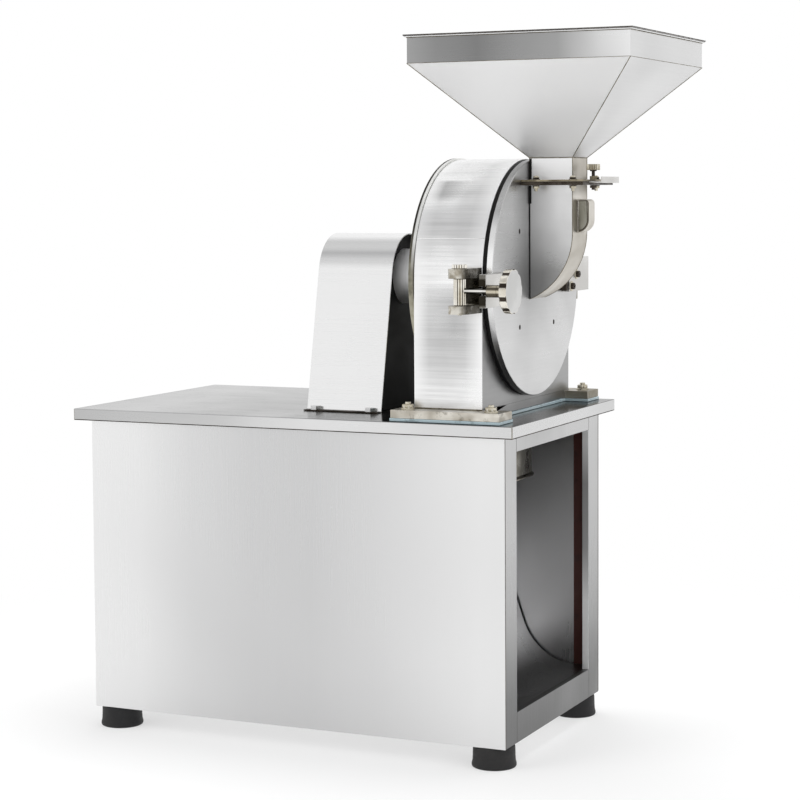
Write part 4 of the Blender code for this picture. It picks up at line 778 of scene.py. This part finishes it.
def hexagon(bm, across, low, high, centre, spin=0.0):
    """An upright hexagon nut or head with its corners turned off at both ends."""
    made = bmesh.new()
    corner = across / math.sqrt(3)
    bmesh.ops.create_cone(made, cap_ends=True, segments=6, radius1=corner, radius2=corner, depth=high - low)
    cut_ends(made, across * 0.06, 2)
    bmesh.ops.rotate(made, matrix=Matrix.Rotation(spin, 3, "Z"), verts=made.verts)
    move(made, (0, 0, (low + high) / 2))
    move(made, centre)
    add_in(bm, made)


def washer(low, high, radius, down=0.0003, inwards=0.0004):
    """The profile of a washer whose upper edge is turned off."""
    return [(low, 0), (low, radius), (high - down, radius), (high, radius - inwards), (high, 0)]


bm = bmesh.new()
for x in (0.0006, 0.1084):
    for y in (-0.1332, 0.1332):
        spun(bm, washer(0.5933, 0.5943, 0.0072), (x, y, 0), "Z", 32)
        hexagon(bm, 0.0112, 0.5942, 0.5975, (x, y, 0), spin=0.3)
settle("guard_bolts", bm, near_black_and_shade, "machine")
print("guard bolted down")

# %% [markdown]
# ## The grinding chamber
# A heavy brushed shell stands on a base plate with a rubber pad under it. Its front face is smoother than its
# arch and painted darker as shade, and runs down over the base as a plain apron. Its back plate is a thicker
# round plate with a faint olive tarnish. It is wider than the arch, so it shows as a crescent.

# %% Shell and round back plate
bm = merged("chamber_shell")
apron = bmesh.new()
box_between(apron, (0.3492, 0.3568), (-0.2098, 0.2098), (0.5967, 0.6125))
move(apron, SHIFT)
add_in(bm, apron)
for face in bm.faces:
    face.material_index = int(face.normal.x > 0.9 and face.calc_center_median().x - SHIFT.x > 0.30)
settle("chamber_shell_finished", bm, [shell_steel, front_steel], "machine",
       ["chamber_shell"], 0.0010, 28, 3, moved=False)
bm = bmesh.new()
spun(bm, [(0.2180, 0.0228), (0.2180, 0.0900), (0.2207, 0.0900), (0.2207, 0.2119), (0.2213, 0.2125),
          (0.2291, 0.2125), (0.2297, 0.2119), (0.2297, 0.1568), (0.2395, 0.1568), (0.2395, 0.1490),
          (0.2297, 0.1490), (0.2297, 0.0228)], (0, 0, SPINDLE), "X", 96)
settle("round_back_plate", bm, plate_edge, "machine", ["chamber_back_plate"], soft=40)
print("shell and back plate dressed")

# %% [markdown]
# ## The shell's back wall
# The round back plate leaves the shell's lower corners open, so a thin wall closes them. It is an arch with a
# round hole. Its outline and its hole are two rings with a point at every same angle, which lets plain
# four-sided faces join them, front, back, rim and edge, with no hole left to fill.

# %% The wall, built from rings of matching points
half_wide, floor_z, hole = 0.2093, 0.6112, 0.1640
corner = math.atan2(floor_z - SPINDLE, half_wide)
turns = sorted([math.radians(degree) for degree in range(-180, 180, 4)] + [corner, -math.pi - corner])
bm = bmesh.new()
rings = []
for x in (0.2304, 0.2330):
    outline, rim = [], []
    for turn in turns:
        reach = half_wide
        if turn < 0:
            reach = min(half_wide / max(abs(math.cos(turn)), 1e-6),
                        (floor_z - SPINDLE) / min(math.sin(turn), -1e-6))
        outline.append(bm.verts.new((x, reach * math.cos(turn), SPINDLE + reach * math.sin(turn))))
        rim.append(bm.verts.new((x, hole * math.cos(turn), SPINDLE + hole * math.sin(turn))))
    rings += [outline, rim]
for first, second in ((0, 1), (1, 3), (3, 2), (2, 0)):
    for step in range(len(turns)):
        after = (step + 1) % len(turns)
        bm.faces.new((rings[first][step], rings[first][after], rings[second][after], rings[second][step]))
bmesh.ops.recalc_face_normals(bm, faces=bm.faces)
# The back wall takes the front's darker colour, painted shade.
settle("shell_back_wall", bm, front_steel, "machine")
print("back wall closed with", len(turns), "steps")

# %% [markdown]
# ## Base, pad, spout and screen
# Some solids need a small change that the photograph shows and the frame does not have. A merged copy is
# changed by moving the points that lie past a line: the middle of the base stands 8 mm back under the apron,
# the base reaches a little lower into a thinner pad, and the spout reaches 12 mm further down and out.

# %% Base, pad, spout and screen
BACK, DOWN, OUT = 0.0080, 0.0018, 0.0120
dress("chamber_base", cast_bar, 0.0009,
      step=lambda at: (-BACK * (abs(at.x - 0.357) < 0.0002 and abs(at.y) < 0.195), 0,
                       -DOWN * (at.z < 0.5990)))
dress("base_pad", pad_rubber, 0.0008,
      step=lambda at: (0, 0, -(DOWN + 0.0001) * (at.z > 0.5960)))
dress("discharge_spout", spout_steel,
      step=lambda at: (OUT * (at.x > 0.352), 0, -OUT * (at.z < 0.4900)))
dress("screen_ring", tool_steel, 0.0003)
print("base, pad, spout and screen dressed")

# %% [markdown]
# ## The shell's welds
# The shell is welded to its base along both feet, and one seam runs along its shoulder where the arch was
# closed. Both are beads swept along a straight line, the seam only half as thick as the weld.

# %% Weld along the shell's foot and the line of its seam
bm = bmesh.new()
for y in (-0.2103, 0.2103):
    bead(bm, [[(0.2305, y, 0.6112), (0.3565, y, 0.6112)]], 0.0016)
settle("shell_foot_weld", bm, weld_metal, "machine")
bm = bmesh.new()
lift, arch = math.radians(20.5), 0.2100
for side in (-1, 1):
    place = (side * arch * math.cos(lift), SPINDLE + arch * math.sin(lift))
    bead(bm, [[(0.2308, *place), (0.3562, *place)]], 0.0008)
settle("shell_seam", bm, sheet_steel, "machine")
print("shell welded")

# %% [markdown]
# ## Bolts on the base
# The base is held down at its four corners by hexagon nuts on studs, with thick washers. A nut is a hexagon
# whose corners are turned off, and the stud stands a few threads proud of it.

# %% Base bolts with washers and studs
bm = bmesh.new()
for x in (0.225, 0.379):
    for y in (-0.2255, 0.2255):
        spun(bm, washer(0.6107, 0.6130, 0.0118, 0.0005, 0.0006), (x, y, 0), "Z", 40)
        hexagon(bm, 0.0178, 0.6129, 0.6195, (x, y, 0), spin=0.2)
        spun(bm, washer(0.6190, 0.6232, 0.0050, 0.0007, 0.0007), (x, y, 0), "Z", 24)
settle("base_bolts", bm, zinc_plate, "machine", soft=30)
print("base bolts made")

# %% [markdown]
# ## The door and its toothed disc
# The round door is brushed across its face, with a rim of its own finish whose bright band and dark ends are
# a painted highlight and painted shade from the room round it. It seals on a thick black gasket, which shows
# as a dark band round the chamber, and the band's black also paints the contact shadow there, so the door's
# back is moved forward to leave room for it. The fixed toothed disc sits inside, and its screw ends show dark
# in four deep holes, painted near black as shade.

# %% Door, gasket and discs
SOLID_BACK, ROOM = 0.3613, 0.0028  # the back face of the solid door, and the room that the gasket needs
dress("door_disc", [door_steel, rim_steel], 0.0005, 40,
      choose=lambda face, at: int(abs(face.normal.x) < 0.5 and math.hypot(at.y, at.z - SPINDLE) > 0.2),
      step=lambda at: (ROOM * (abs(at.x - SOLID_BACK) < 0.0003), 0, 0))
bm = bmesh.new()
# The gasket is wide and near black, partly as painted contact shadow between door and shell.
spun(bm, [(0.3574, 0.1820), (0.3574, 0.2079), (0.3580, 0.2085), (0.3632, 0.2085), (0.3638, 0.2079),
          (0.3638, 0.1820)], (0, 0, SPINDLE), "X", 128)
settle("gasket_and_shadow_band", bm, gasket_rubber, "door", ["door_gasket"], soft=40)
# The screw ends in the deep holes take the near-black look as painted shade.
dress("stator_disc", [tool_steel, near_black_and_shade], 0.0005,
      choose=lambda face, at: int(at.x > 0.3640))
dress("rotor_disc", tool_steel, 0.0006)
print("door dressed")

# %% [markdown]
# ## The feed chute
# The chute is folded from sheet: two flat sides, and one strip that comes down the front and curves back to
# the door. Where side meets strip there is a fine weld, and behind the chute a bead of black sealant closes
# the joint and also paints the shadow in the gap at the door.


# %% The chute and its welds
def arc_points(centre, radius, start, end, steps):
    """Points on an arc in a plane, from one angle in degrees to another."""
    angles = [math.radians(start + (end - start) * step / steps) for step in range(steps + 1)]
    return [(centre[0] + radius * math.cos(angle), centre[1] + radius * math.sin(angle)) for angle in angles]


CHUTE_BACK, CHUTE_FRONT, HALF = 0.3758, 0.4558, 0.037
bend = (CHUTE_FRONT - 0.125, 0.909)
dress("feed_chute", [chute_steel, strip_steel], 0.0007, soft=28,
      choose=lambda face, at: int(abs(face.normal.y) < 0.5))
bm = bmesh.new()
for side in (-1, 1):
    y = side * (HALF - 0.0001)
    curve = [(x, y, z) for x, z in arc_points(bend, 0.1247, 0, -69.0, 24)]
    bead(bm, [[(CHUTE_FRONT - 0.0003, y, 0.9915)] + curve], 0.0007)
settle("chute_welds", bm, weld_metal, "door")
print("chute welded")

# %% [markdown]
# The black sealant is a bead down each rear corner, and a broader smear where chute and neck meet the
# flanges; its black is partly sealant and partly painted shadow in the gaps.

# %% The chute's seal and painted shadow
bm = bmesh.new()
line = CHUTE_BACK + 0.0004
for side in (-1, 1):
    y = side * (HALF + 0.0001)
    bead(bm, [[(line, y, 0.7945), (line, y, 0.9915)]], 0.0010)
    for deep, wide, heights in ((0.0040, 0.0382, (1.0024, 1.0385)), (0.0034, 0.0380, (0.9600, 0.9916))):
        box_between(bm, (CHUTE_BACK + 0.0001, CHUTE_BACK + deep), (side * 0.0368, side * wide), heights)
settle("chute_seal_and_shadow", bm, gasket_rubber, "door")
print("chute sealed")

# %% [markdown]
# ## Flanges and slide gate
# Two thin flanges, bolted together, hold the gate between them. Their faces are clean and their edges are
# dark, so every upright face of a flange takes a darker finish.

# %% Flanges and the gate
for node, edge_look in (("chute_flange", near_black_and_shade), ("hopper_flange", flange_edge)):
    dress(node, [trim_steel, edge_look], 0.0005,
          choose=lambda face, at: int(abs(face.normal.z) < 0.5))
dress("slide_gate", trim_steel, 0.0004)
print("flanges and gate dressed")

# %% [markdown]
# ## The flange bolts
# Each bolt ends above in a domed nut on a washer and below in a plain nut with the thread showing. The dome
# is a turned profile on a hexagon. Faces close to the flanges take the near-black look.

# %% Flange bolts with domed nuts
low_face, high_face = 0.9917, 1.0018
dome = [(high_face + 0.0042, 0), (high_face + 0.0042, 0.0050)]
dome += [(high_face + 0.0044 + 0.0028 * math.sin(turn), 0.0048 * math.cos(turn))
         for turn in (0.15, 0.45, 0.8, 1.15, 1.4)]
dome += [(high_face + 0.0072, 0)]
low_washer = [(low_face - 0.0010, 0), (low_face - 0.0010, 0.0068), (low_face, 0.0068), (low_face, 0)]
thread = [(low_face - 0.0101, 0), (low_face - 0.0101, 0.0024), (low_face - 0.0096, 0.0029),
          (low_face - 0.0050, 0.0029), (low_face - 0.0050, 0)]
places = [(CHUTE_BACK + x, y) for x in (0.021, 0.089) for y in (-0.060, 0.060)]
for number, (x, y) in enumerate(places, 1):
    bm = bmesh.new()
    centre = (x, y, 0)
    spun(bm, washer(high_face, high_face + 0.0010, 0.0072), centre, "Z", 32)
    hexagon(bm, 0.0108, high_face + 0.0009, high_face + 0.0045, centre, spin=0.4)
    spun(bm, dome, centre, "Z", 32)
    spun(bm, low_washer, centre, "Z", 32)
    hexagon(bm, 0.0102, low_face - 0.0055, low_face - 0.0009, centre, spin=0.9)
    spun(bm, thread, centre, "Z", 20)
    box_between(bm, (x - 0.0020, x + 0.0020), (y - 0.0020, y + 0.0020),
                (low_face - 0.0040, high_face + 0.0030))
    for face in bm.faces:
        height = face.calc_center_median().z
        face.material_index = int(high_face < height < high_face + 0.0030
                                  or low_face - 0.0030 < height < low_face)
    settle(f"domed_bolt_{number}", bm, [zinc_plate, near_black_and_shade], "door",
           [f"flange_bolt_{number}"], soft=30)
print(len(places), "domed bolts")

# %% [markdown]
# ## The thumb screw
# A knurled thumb screw at the front clamps the gate, with a lock nut below. The knurl is real geometry: a
# round outline has every second pair of its points pulled in, and the star is extruded and its ends are
# bevelled.


# %% The thumb screw and its lock nut
def star(radius, count, pulls, low, high, chamfer, segments):
    """An upright cylinder with a wavy edge. pulls says how far each point of a repeat is drawn in."""
    made = bmesh.new()
    rim = bmesh.ops.create_circle(made, cap_ends=True, radius=radius, segments=count * len(pulls))["verts"]
    for number, vert in enumerate(rim):
        vert.co *= 1 - pulls[number % len(pulls)] / radius
    lifted = bmesh.ops.extrude_face_region(made, geom=made.faces[:])["geom"]
    move(made, (0, 0, high - low), [item for item in lifted if isinstance(item, bmesh.types.BMVert)])
    move(made, (0, 0, low))
    cut_ends(made, chamfer, segments)
    bmesh.ops.recalc_face_normals(made, faces=made.faces)
    return made


def ribbed(bm, radius, depth, count, low, high, centre, chamfer=0.0006):
    """An upright ribbed cylinder with chamfered ends and its grooves in the second look."""
    made = star(radius, count, (depth, 0, 0, depth), low, high, chamfer, 1)
    for face in made.faces:
        # The grooves take the second look, near black as painted shade.
        face.material_index = int(abs(face.normal.z) < 0.1
                                  and face.calc_center_median().xy.length < radius - depth * 0.7)
    move(made, centre)
    add_in(bm, made)


stud = (CHUTE_BACK + 0.105, 0, 0)
bm = bmesh.new()
ribbed(bm, 0.0119, 0.0012, 20, 1.0180, 1.0284, stud)
spun(bm, [(0.9983, 0), (0.9983, 0.0029), (1.0190, 0.0029), (1.0190, 0)], stud, "Z", 32)
spun(bm, [(1.0160, 0.0020), (1.0160, 0.0055), (1.0182, 0.0062), (1.0182, 0.0020)], stud, "Z", 32)
# The stud and collar under the knurled head take the near-black look as painted shade.
for face in bm.faces:
    if face.calc_center_median().z < 1.0175:
        face.material_index = 1
settle("thumb_screw", bm, [zinc_plate, near_black_and_shade], "clamp_screw", ["gate_screw"], soft=25)
bm = bmesh.new()
hexagon(bm, 0.0110, 0.9868, 0.9918, stud, spin=0.5)
spun(bm, [(0.9835, 0), (0.9835, 0.0025), (0.9840, 0.0029), (0.9872, 0.0029), (0.9872, 0)], stud, "Z", 20)
settle("clamp_lock_nut", bm, near_black_and_shade, "door", soft=30)
print("thumb screw knurled")

# %% [markdown]
# ## The magnet trap
# The bracket on the chute's front is a short channel with a rounded toe. Its side is sunk, and the sunk face
# is painted dark and greenish as reflection and shade, so faces are given a second finish by how deep they
# lie. A thin bead draws its outline.

# %% The magnet trap
dress("magnet_trap", [strip_steel, sunk_face_grime_and_shade], 0.0006,
      choose=lambda face, at: int(abs(face.normal.y) > 0.9 and abs(at.y) < 0.0135))
toe = arc_points((0.4561, 0.9310), 0.0190, 0, -80, 8)
bm = bmesh.new()
for y in (-0.01505, 0.01505):
    ring = [(0.4576, y, 0.9645), (0.4740, y, 0.9645)] + [(x, y, z) for x, z in toe]
    bead(bm, [ring], 0.0007, closed=True)
settle("trap_outline", bm, near_black_and_shade, "door")
print("magnet trap outlined")

# %% [markdown]
# ## The hopper
# Four folded sheets make the hopper: an upright band, a steep pyramid and a short neck. Each sheet is
# finished by itself, so a face is given its sheet's look by where it lies and which way it looks.

# %% The hopper's sheets
CHUTE_X = 0.4158  # the middle of the chute and the hopper


def hopper_look(face, at):
    """Which sheet a face of the hopper belongs to: front, rim, band, side or the neck's side."""
    if at.z > 1.2485 and abs(face.normal.z) < 0.5 and max(abs(at.x - CHUTE_X), abs(at.y)) > 0.203:
        return 1
    # Faces that look along +X take the side's copy, painted darker as shade; low on the neck they take the
    # strip's colour.
    if face.normal.x > 0.5:
        return 4 if at.z < 1.045 else 3
    return 2 if at.z > 1.2015 and face.normal.y < -0.7 else 0


dress("hopper", [hopper_front, near_black_and_shade, band_steel, hopper_side, strip_steel], 0.0006,
      soft=25, choose=hopper_look)
print("hopper dressed")

# %% [markdown]
# ## The hopper's seams and rim
# The sheets are joined by fine welds down the corners, which show as thin dark lines. The band's edge is
# turned out: a bright roll, and over it a dark rim. All are beads, most of them along a square ring.


# %% Welds, rolled edge and dark rim
def square(reach_x, reach_y, height):
    """The corners of a level ring round the hopper's middle."""
    return [(CHUTE_X + sx * reach_x, sy * reach_y, height) for sx, sy in ((-1, -1), (1, -1), (1, 1), (-1, 1))]


neck_x, neck_y, band = 0.040, 0.037, 0.2004
bm = bmesh.new()
for sx in (-1, 1):
    for sy in (-1, 1):
        neck = (CHUTE_X + sx * neck_x, sy * neck_y)
        bead(bm, [[(*neck, 1.0022), (*neck, 1.040), (CHUTE_X + sx * band, sy * band, 1.201)]], 0.0008)
bead(bm, [square(neck_x + 0.0002, neck_y + 0.0002, 1.040)], 0.0010, closed=True)
bead(bm, [square(0.2007, 0.2007, 1.2012)], 0.0005, closed=True)
bead(bm, [square(0.2010, 0.2010, 1.2450)], 0.0006, closed=True)
settle("hopper_welds", bm, weld_metal, "door")
for name, reach, height, thick, look in (("hopper_rolled_edge", 0.2038, 1.2466, 0.0011, sheet_steel),
                                         ("hopper_dark_rim", 0.2044, 1.2484, 0.0013, near_black_and_shade)):
    bm = bmesh.new()
    bead(bm, [square(reach, reach, height)], thick, closed=True)
    settle(name, bm, look, "door")
print("hopper welded and rimmed")

# %% [markdown]
# ## The hinge
# The hinge arm is a bent plate held by three socket screws on washers. Sockets look black because light that
# goes in seldom comes out, so the middle of each head is sunk and a dark hexagon lies in it.


# %% A socket screw
def socket_screw(bm, radius, face, height, centre):
    """A cap screw along X with a sunk middle, on a washer half as wide again."""
    spun(bm, washer(face, face + 0.0011, radius * 1.5), centre, "X", 36)
    made = bmesh.new()
    bmesh.ops.create_cone(made, cap_ends=True, segments=36, radius1=radius, radius2=radius, depth=height)
    lid = max(made.faces, key=lambda item: item.calc_center_median().z)
    bmesh.ops.inset_individual(made, faces=[lid], thickness=radius * 0.46)
    bmesh.ops.inset_individual(made, faces=[lid], thickness=0.00001)
    move(made, (0, 0, -height * 0.55), lid.verts[:])
    rim = [edge for edge in made.edges if all(abs(vert.co.z - height / 2) < 1e-7 for vert in edge.verts)
           and all(abs(vert.co.xy.length - radius) < 1e-5 for vert in edge.verts)]
    bmesh.ops.bevel(made, geom=rim, offset=radius * 0.12, segments=2, profile=0.5, affect="EDGES",
                    material=-1)
    move(made, (0, 0, face + height / 2))
    bmesh.ops.rotate(made, matrix=Matrix.Rotation(math.pi / 2, 3, "Y"), verts=made.verts)
    move(made, centre)
    add_in(bm, made)


print("socket screw ready")

# %% [markdown]
# The same three places serve the screws and the hexagons in their sockets. A dark stop sits at the arm's end.

# %% Hinge arm, bracket, pin and screws
dress("hinge_arm", trim_steel, 0.0008, soft=30)
dress("hinge_bracket", cast_bar, 0.0008, soft=30)
dress("hinge_pin", polished_steel, 0.0008)
screws = [(0, 0.142, SPINDLE - 0.021), (0, 0.142, SPINDLE + 0.021), (0, 0.169, SPINDLE)]
bm = bmesh.new()
for place in screws:
    socket_screw(bm, 0.0060, 0.3879, 0.0064, place)
for face in bm.faces:
    face.material_index = int(face.calc_center_median().x > 0.3892)
settle("arm_cap_screws", bm, [zinc_plate, near_black_and_shade], "door", soft=30)
bm = bmesh.new()
for place in screws:
    spun(bm, [(0.3910, 0), (0.3910, 0.0031), (0.3914, 0.0031), (0.3914, 0)], place, "X", 6)
settle("arm_screw_sockets", bm, near_black_and_shade, "door")
bm = bmesh.new()
box_between(bm, (0.3759, 0.3865), (0.1195, 0.1307), (0.8000, 0.8165))
bmesh.ops.bevel(bm, geom=bm.edges[:], offset=0.0012, segments=2, profile=0.5, affect="EDGES", material=-1)
settle("arm_stop", bm, near_black_and_shade, "door")
print("hinge dressed")

# %% [markdown]
# ## The latch
# Two heavy lugs hold an upright pin, with a ribbed barrel between them. Castings and plates here have an
# aged, yellowish tone, and the gap between the lugs and their far sides are painted near black as shade. The
# barrel and the pin's head are ribbed like the thumb screw, only coarser.

# %% Lugs, pin and barrel
latch = (0.337, -0.260, 0)
pin_head = 0.8539
dress("latch_bracket", aged_lug_and_shade, 0.0014, soft=28, segments=3)
bm = bmesh.new()
ribbed(bm, 0.0105, 0.0016, 12, 0.79185, 0.83665, latch, chamfer=0.0009)
settle("latch_barrel_ribbed", bm, [polished_steel, near_black_and_shade], "machine", ["latch_barrel"],
       soft=25)
bm = bmesh.new()
spun(bm, [(0.7755, 0), (0.7755, 0.0042), (0.7763, 0.0050), (0.7912, 0.0050), (0.7912, 0)], latch, "Z", 32)
spun(bm, [(0.8372, 0), (0.8372, 0.0050), (0.8543, 0.0050), (0.8543, 0)], latch, "Z", 32)
ribbed(bm, 0.0129, 0.0014, 16, pin_head, 0.8607, latch, chamfer=0.0008)
settle("latch_pin_ribbed", bm, [polished_steel, near_black_and_shade], "machine", ["latch_pin"],
       soft=25)
print("latch barrel and pin ribbed")

# %% [markdown]
# ## The clamping rod and the fluted knob
# The rod comes out of the barrel through a slotted plate on the door to a knob. The knob is a disc with ten
# shallow flutes round its edge. Its face is brushed, its hub is turned and polished, and its flutes are
# painted dark as shade.

# %% Rod and plate
dress("latch_rod", rod_steel, 0.0004)
# The plate's faces towards -Y take the lugs' finish, painted dark as shade.
dress("latch_plate", [trim_steel, aged_lug_and_shade], 0.0010, segments=3,
      choose=lambda face, at: int(face.normal.y < -0.5))
knob_face = metal("knob_face", (0.68, 0.68, 0.67), (0.62, 0.62, 0.61), (0.36, 0.46), (200, 200, 200), 20.0,
                  0.06, 0.05, 0.05)
print("rod and plate dressed")

# %% [markdown]
# The knob's outline is the star of the thumb screw with twelve points to a flute, and its hub is a turned
# profile with a groove. Faces are told apart by how far they lie from the rod.

# %% The fluted knob
knob_y, front, back, hub = -0.260, 0.4346, 0.4216, 0.3881
STEPS, DEPTH = 12, 0.0017
waves = [math.cos((step / STEPS - 0.5) * 2 * math.pi * 0.92) for step in range(STEPS)]
pulls = [DEPTH * max(0.0, wave) ** 1.5 for wave in waves]
disc = star(0.0375, 10, pulls, 0, front - back, 0.0013, 3)
bmesh.ops.rotate(disc, matrix=Matrix.Rotation(math.pi / 2, 3, "Y"), verts=disc.verts)
move(disc, (back, knob_y, LATCH_Z))
bm = bmesh.new()
add_in(bm, disc)
spun(bm, [(hub, 0.0052), (hub, 0.0098), (hub + 0.0007, 0.0105), (0.4060, 0.0105), (0.4064, 0.0100),
          (0.4076, 0.0100), (0.4080, 0.0105), (0.4215, 0.0105), (0.4222, 0.0112), (0.4222, 0.0052)],
     (0, knob_y, LATCH_Z), "X", 64)
for face in bm.faces:
    at = face.calc_center_median()
    reach = math.hypot(at.y - knob_y, at.z - LATCH_Z)
    if face.normal.x > 0.98 and at.x > front - 0.0002:
        face.material_index = 1
    elif reach < 0.015:
        face.material_index = 2
    # The flutes take the near-black look as painted shade.
    elif reach < 0.0368 and abs(face.normal.x) < 0.9:
        face.material_index = 3
settle("fluted_knob", bm, [polished_steel, knob_face, hub_steel, near_black_and_shade], "knob",
       ["clamp_knob"], soft=30)
print("knob fluted")

# %% [markdown]
# ## The motor inside
# The motor only shows through the belt slot and from behind the liner, but it is dressed as carefully:
# blue-grey paint on the castings, a black fan, and red primer on the welded base.

# %% Motor and its base
for node in ("motor_body", "motor_fan_cover", "motor_terminal_box"):
    dress(node, motor_paint, 0.0006)
dress("motor_fan", black_paint, 0.0004)
dress("motor_base", primer_red, 0.0010)
print("motor dressed")

# %% [markdown]
# ## The room
# The camera sees a plain white surround. Metal sees a white room that is greyer overhead, with one bright
# patch and a bright back, which gives the sheet its soft gradients. What is not metal is lit by a dimmer
# grey, so that the room does not drown the lamps.

# %% The surround
world = bpy.data.worlds.new("studio")
bpy.context.scene.world = world
world.use_nodes = True
tree = world.node_tree
background = tree.nodes["Background"]
path = add_node(tree, "ShaderNodeLightPath").outputs
way = add_node(tree, "ShaderNodeTexCoord").outputs["Generated"]
axes = add_node(tree, "ShaderNodeSeparateXYZ", links={"Vector": way}).outputs
share = add_node(tree, "ShaderNodeMapRange", {"From Min": -1.0, "From Max": 1.0},
                 {"Value": axes["Z"]}).outputs[0]
room = add_node(tree, "ShaderNodeValToRGB", links={"Fac": share})
ramp = room.color_ramp.elements
ramp[0].position, ramp[0].color = 0.0, (0.92, 0.92, 0.92, 1)
ramp[1].position, ramp[1].color = 1.0, (0.62, 0.62, 0.63, 1)
for position, value in ((0.47, 1.0), (0.69, 0.98), (0.77, 0.72)):
    ramp.new(position).color = (value, value, value, 1)
aim = add_node(tree, "ShaderNodeVectorMath", operation="DOT_PRODUCT", links={0: way})
aim.inputs[1].default_value = (-0.417, 0.05, 0.907)
open_sky = compute(tree, "MAXIMUM", remap(tree, axes["Y"], 0.15, 0.50),
                   remap(tree, aim.outputs["Value"], 0.920, 0.975))
room_light = blend(tree, open_sky, room.outputs["Color"], tone(1.0))
mirrored = compute(tree, "MAXIMUM", path["Is Glossy Ray"], path["Is Transmission Ray"])
dim_room = blend(tree, mirrored, tone(0.66), room_light)
tree.links.new(blend(tree, path["Is Camera Ray"], dim_room, tone(1.0)), background.inputs["Color"])
background.inputs["Strength"].default_value = 1.0
print("room lit")

# %% [markdown]
# ## The floor
# The machine stands on white paper. A soft shadow stays under it, and further out the paper fades into the
# white of the room, for the camera and for the metal that mirrors it.

# %% The paper floor
bm = bmesh.new()
bmesh.ops.create_circle(bm, cap_ends=True, radius=14, segments=96)
paper = bpy.data.meshes.new("paper_floor")
bm.to_mesh(paper)
bm.free()
floor = bpy.data.objects.new("paper_floor", paper)
bpy.context.scene.collection.objects.link(floor)
white = bpy.data.materials.new("white_paper")
white.use_nodes = True
tree = white.node_tree
shader = tree.nodes["Principled BSDF"]
shader.inputs["Base Color"].default_value = (0.90, 0.90, 0.90, 1)
shader.inputs["Roughness"].default_value = 0.9
shader.inputs["Specular IOR Level"].default_value = 0.1
glow = add_node(tree, "ShaderNodeEmission", {"Color": (1, 1, 1, 1), "Strength": 1.0})
spot = add_node(tree, "ShaderNodeTexCoord").outputs["Object"]
far = add_node(tree, "ShaderNodeVectorMath", links={0: spot}, operation="LENGTH").outputs["Value"]
path = add_node(tree, "ShaderNodeLightPath").outputs
seen = times(tree, remap(tree, far, 0.75, 1.6, 0.50, 1.0), path["Is Camera Ray"])
mirrored = times(tree, remap(tree, far, 0.8, 2.5, 0.6, 0.95), path["Is Glossy Ray"])
links = {0: compute(tree, "MAXIMUM", seen, mirrored), 1: shader.outputs[0], 2: glow.outputs[0]}
mixed = add_node(tree, "ShaderNodeMixShader", links=links)
tree.links.new(mixed.outputs[0], tree.nodes["Material Output"].inputs["Surface"])
paper.materials.append(white)
print("paper laid")

# %% [markdown]
# ## The lamps
# Three broad soft lamps light the machine from the left, the right and above. Metal would mirror them as hard
# white shapes, so they are hidden from reflections and only lift its shade, its paint and the floor.


# %% Soft lamps
def soft_lamp(name, place, target, size, power):
    """A soft lamp that looks at a target and lights the metal without being mirrored in it."""
    lamp = bpy.data.lights.new(name, "AREA")
    lamp.shape = "RECTANGLE"
    lamp.size, lamp.size_y = size
    lamp.energy = power
    holder = bpy.data.objects.new(name, lamp)
    holder.location = place
    holder.rotation_euler = (Vector(target) - Vector(place)).to_track_quat("-Z", "Y").to_euler()
    holder.visible_camera = False
    holder.visible_glossy = False
    bpy.context.scene.collection.objects.link(holder)


soft_lamp("key", (-2.6, -3.4, 3.2), (0.1, 0, 0.7), (2.4, 2.4), 62)
soft_lamp("side", (3.4, -0.6, 1.8), (0.1, 0, 0.7), (1.4, 2.4), 26)
soft_lamp("top", (0.2, 0.6, 3.8), (0.1, 0, 0.6), (2.4, 1.6), 80)
print("lamps set")
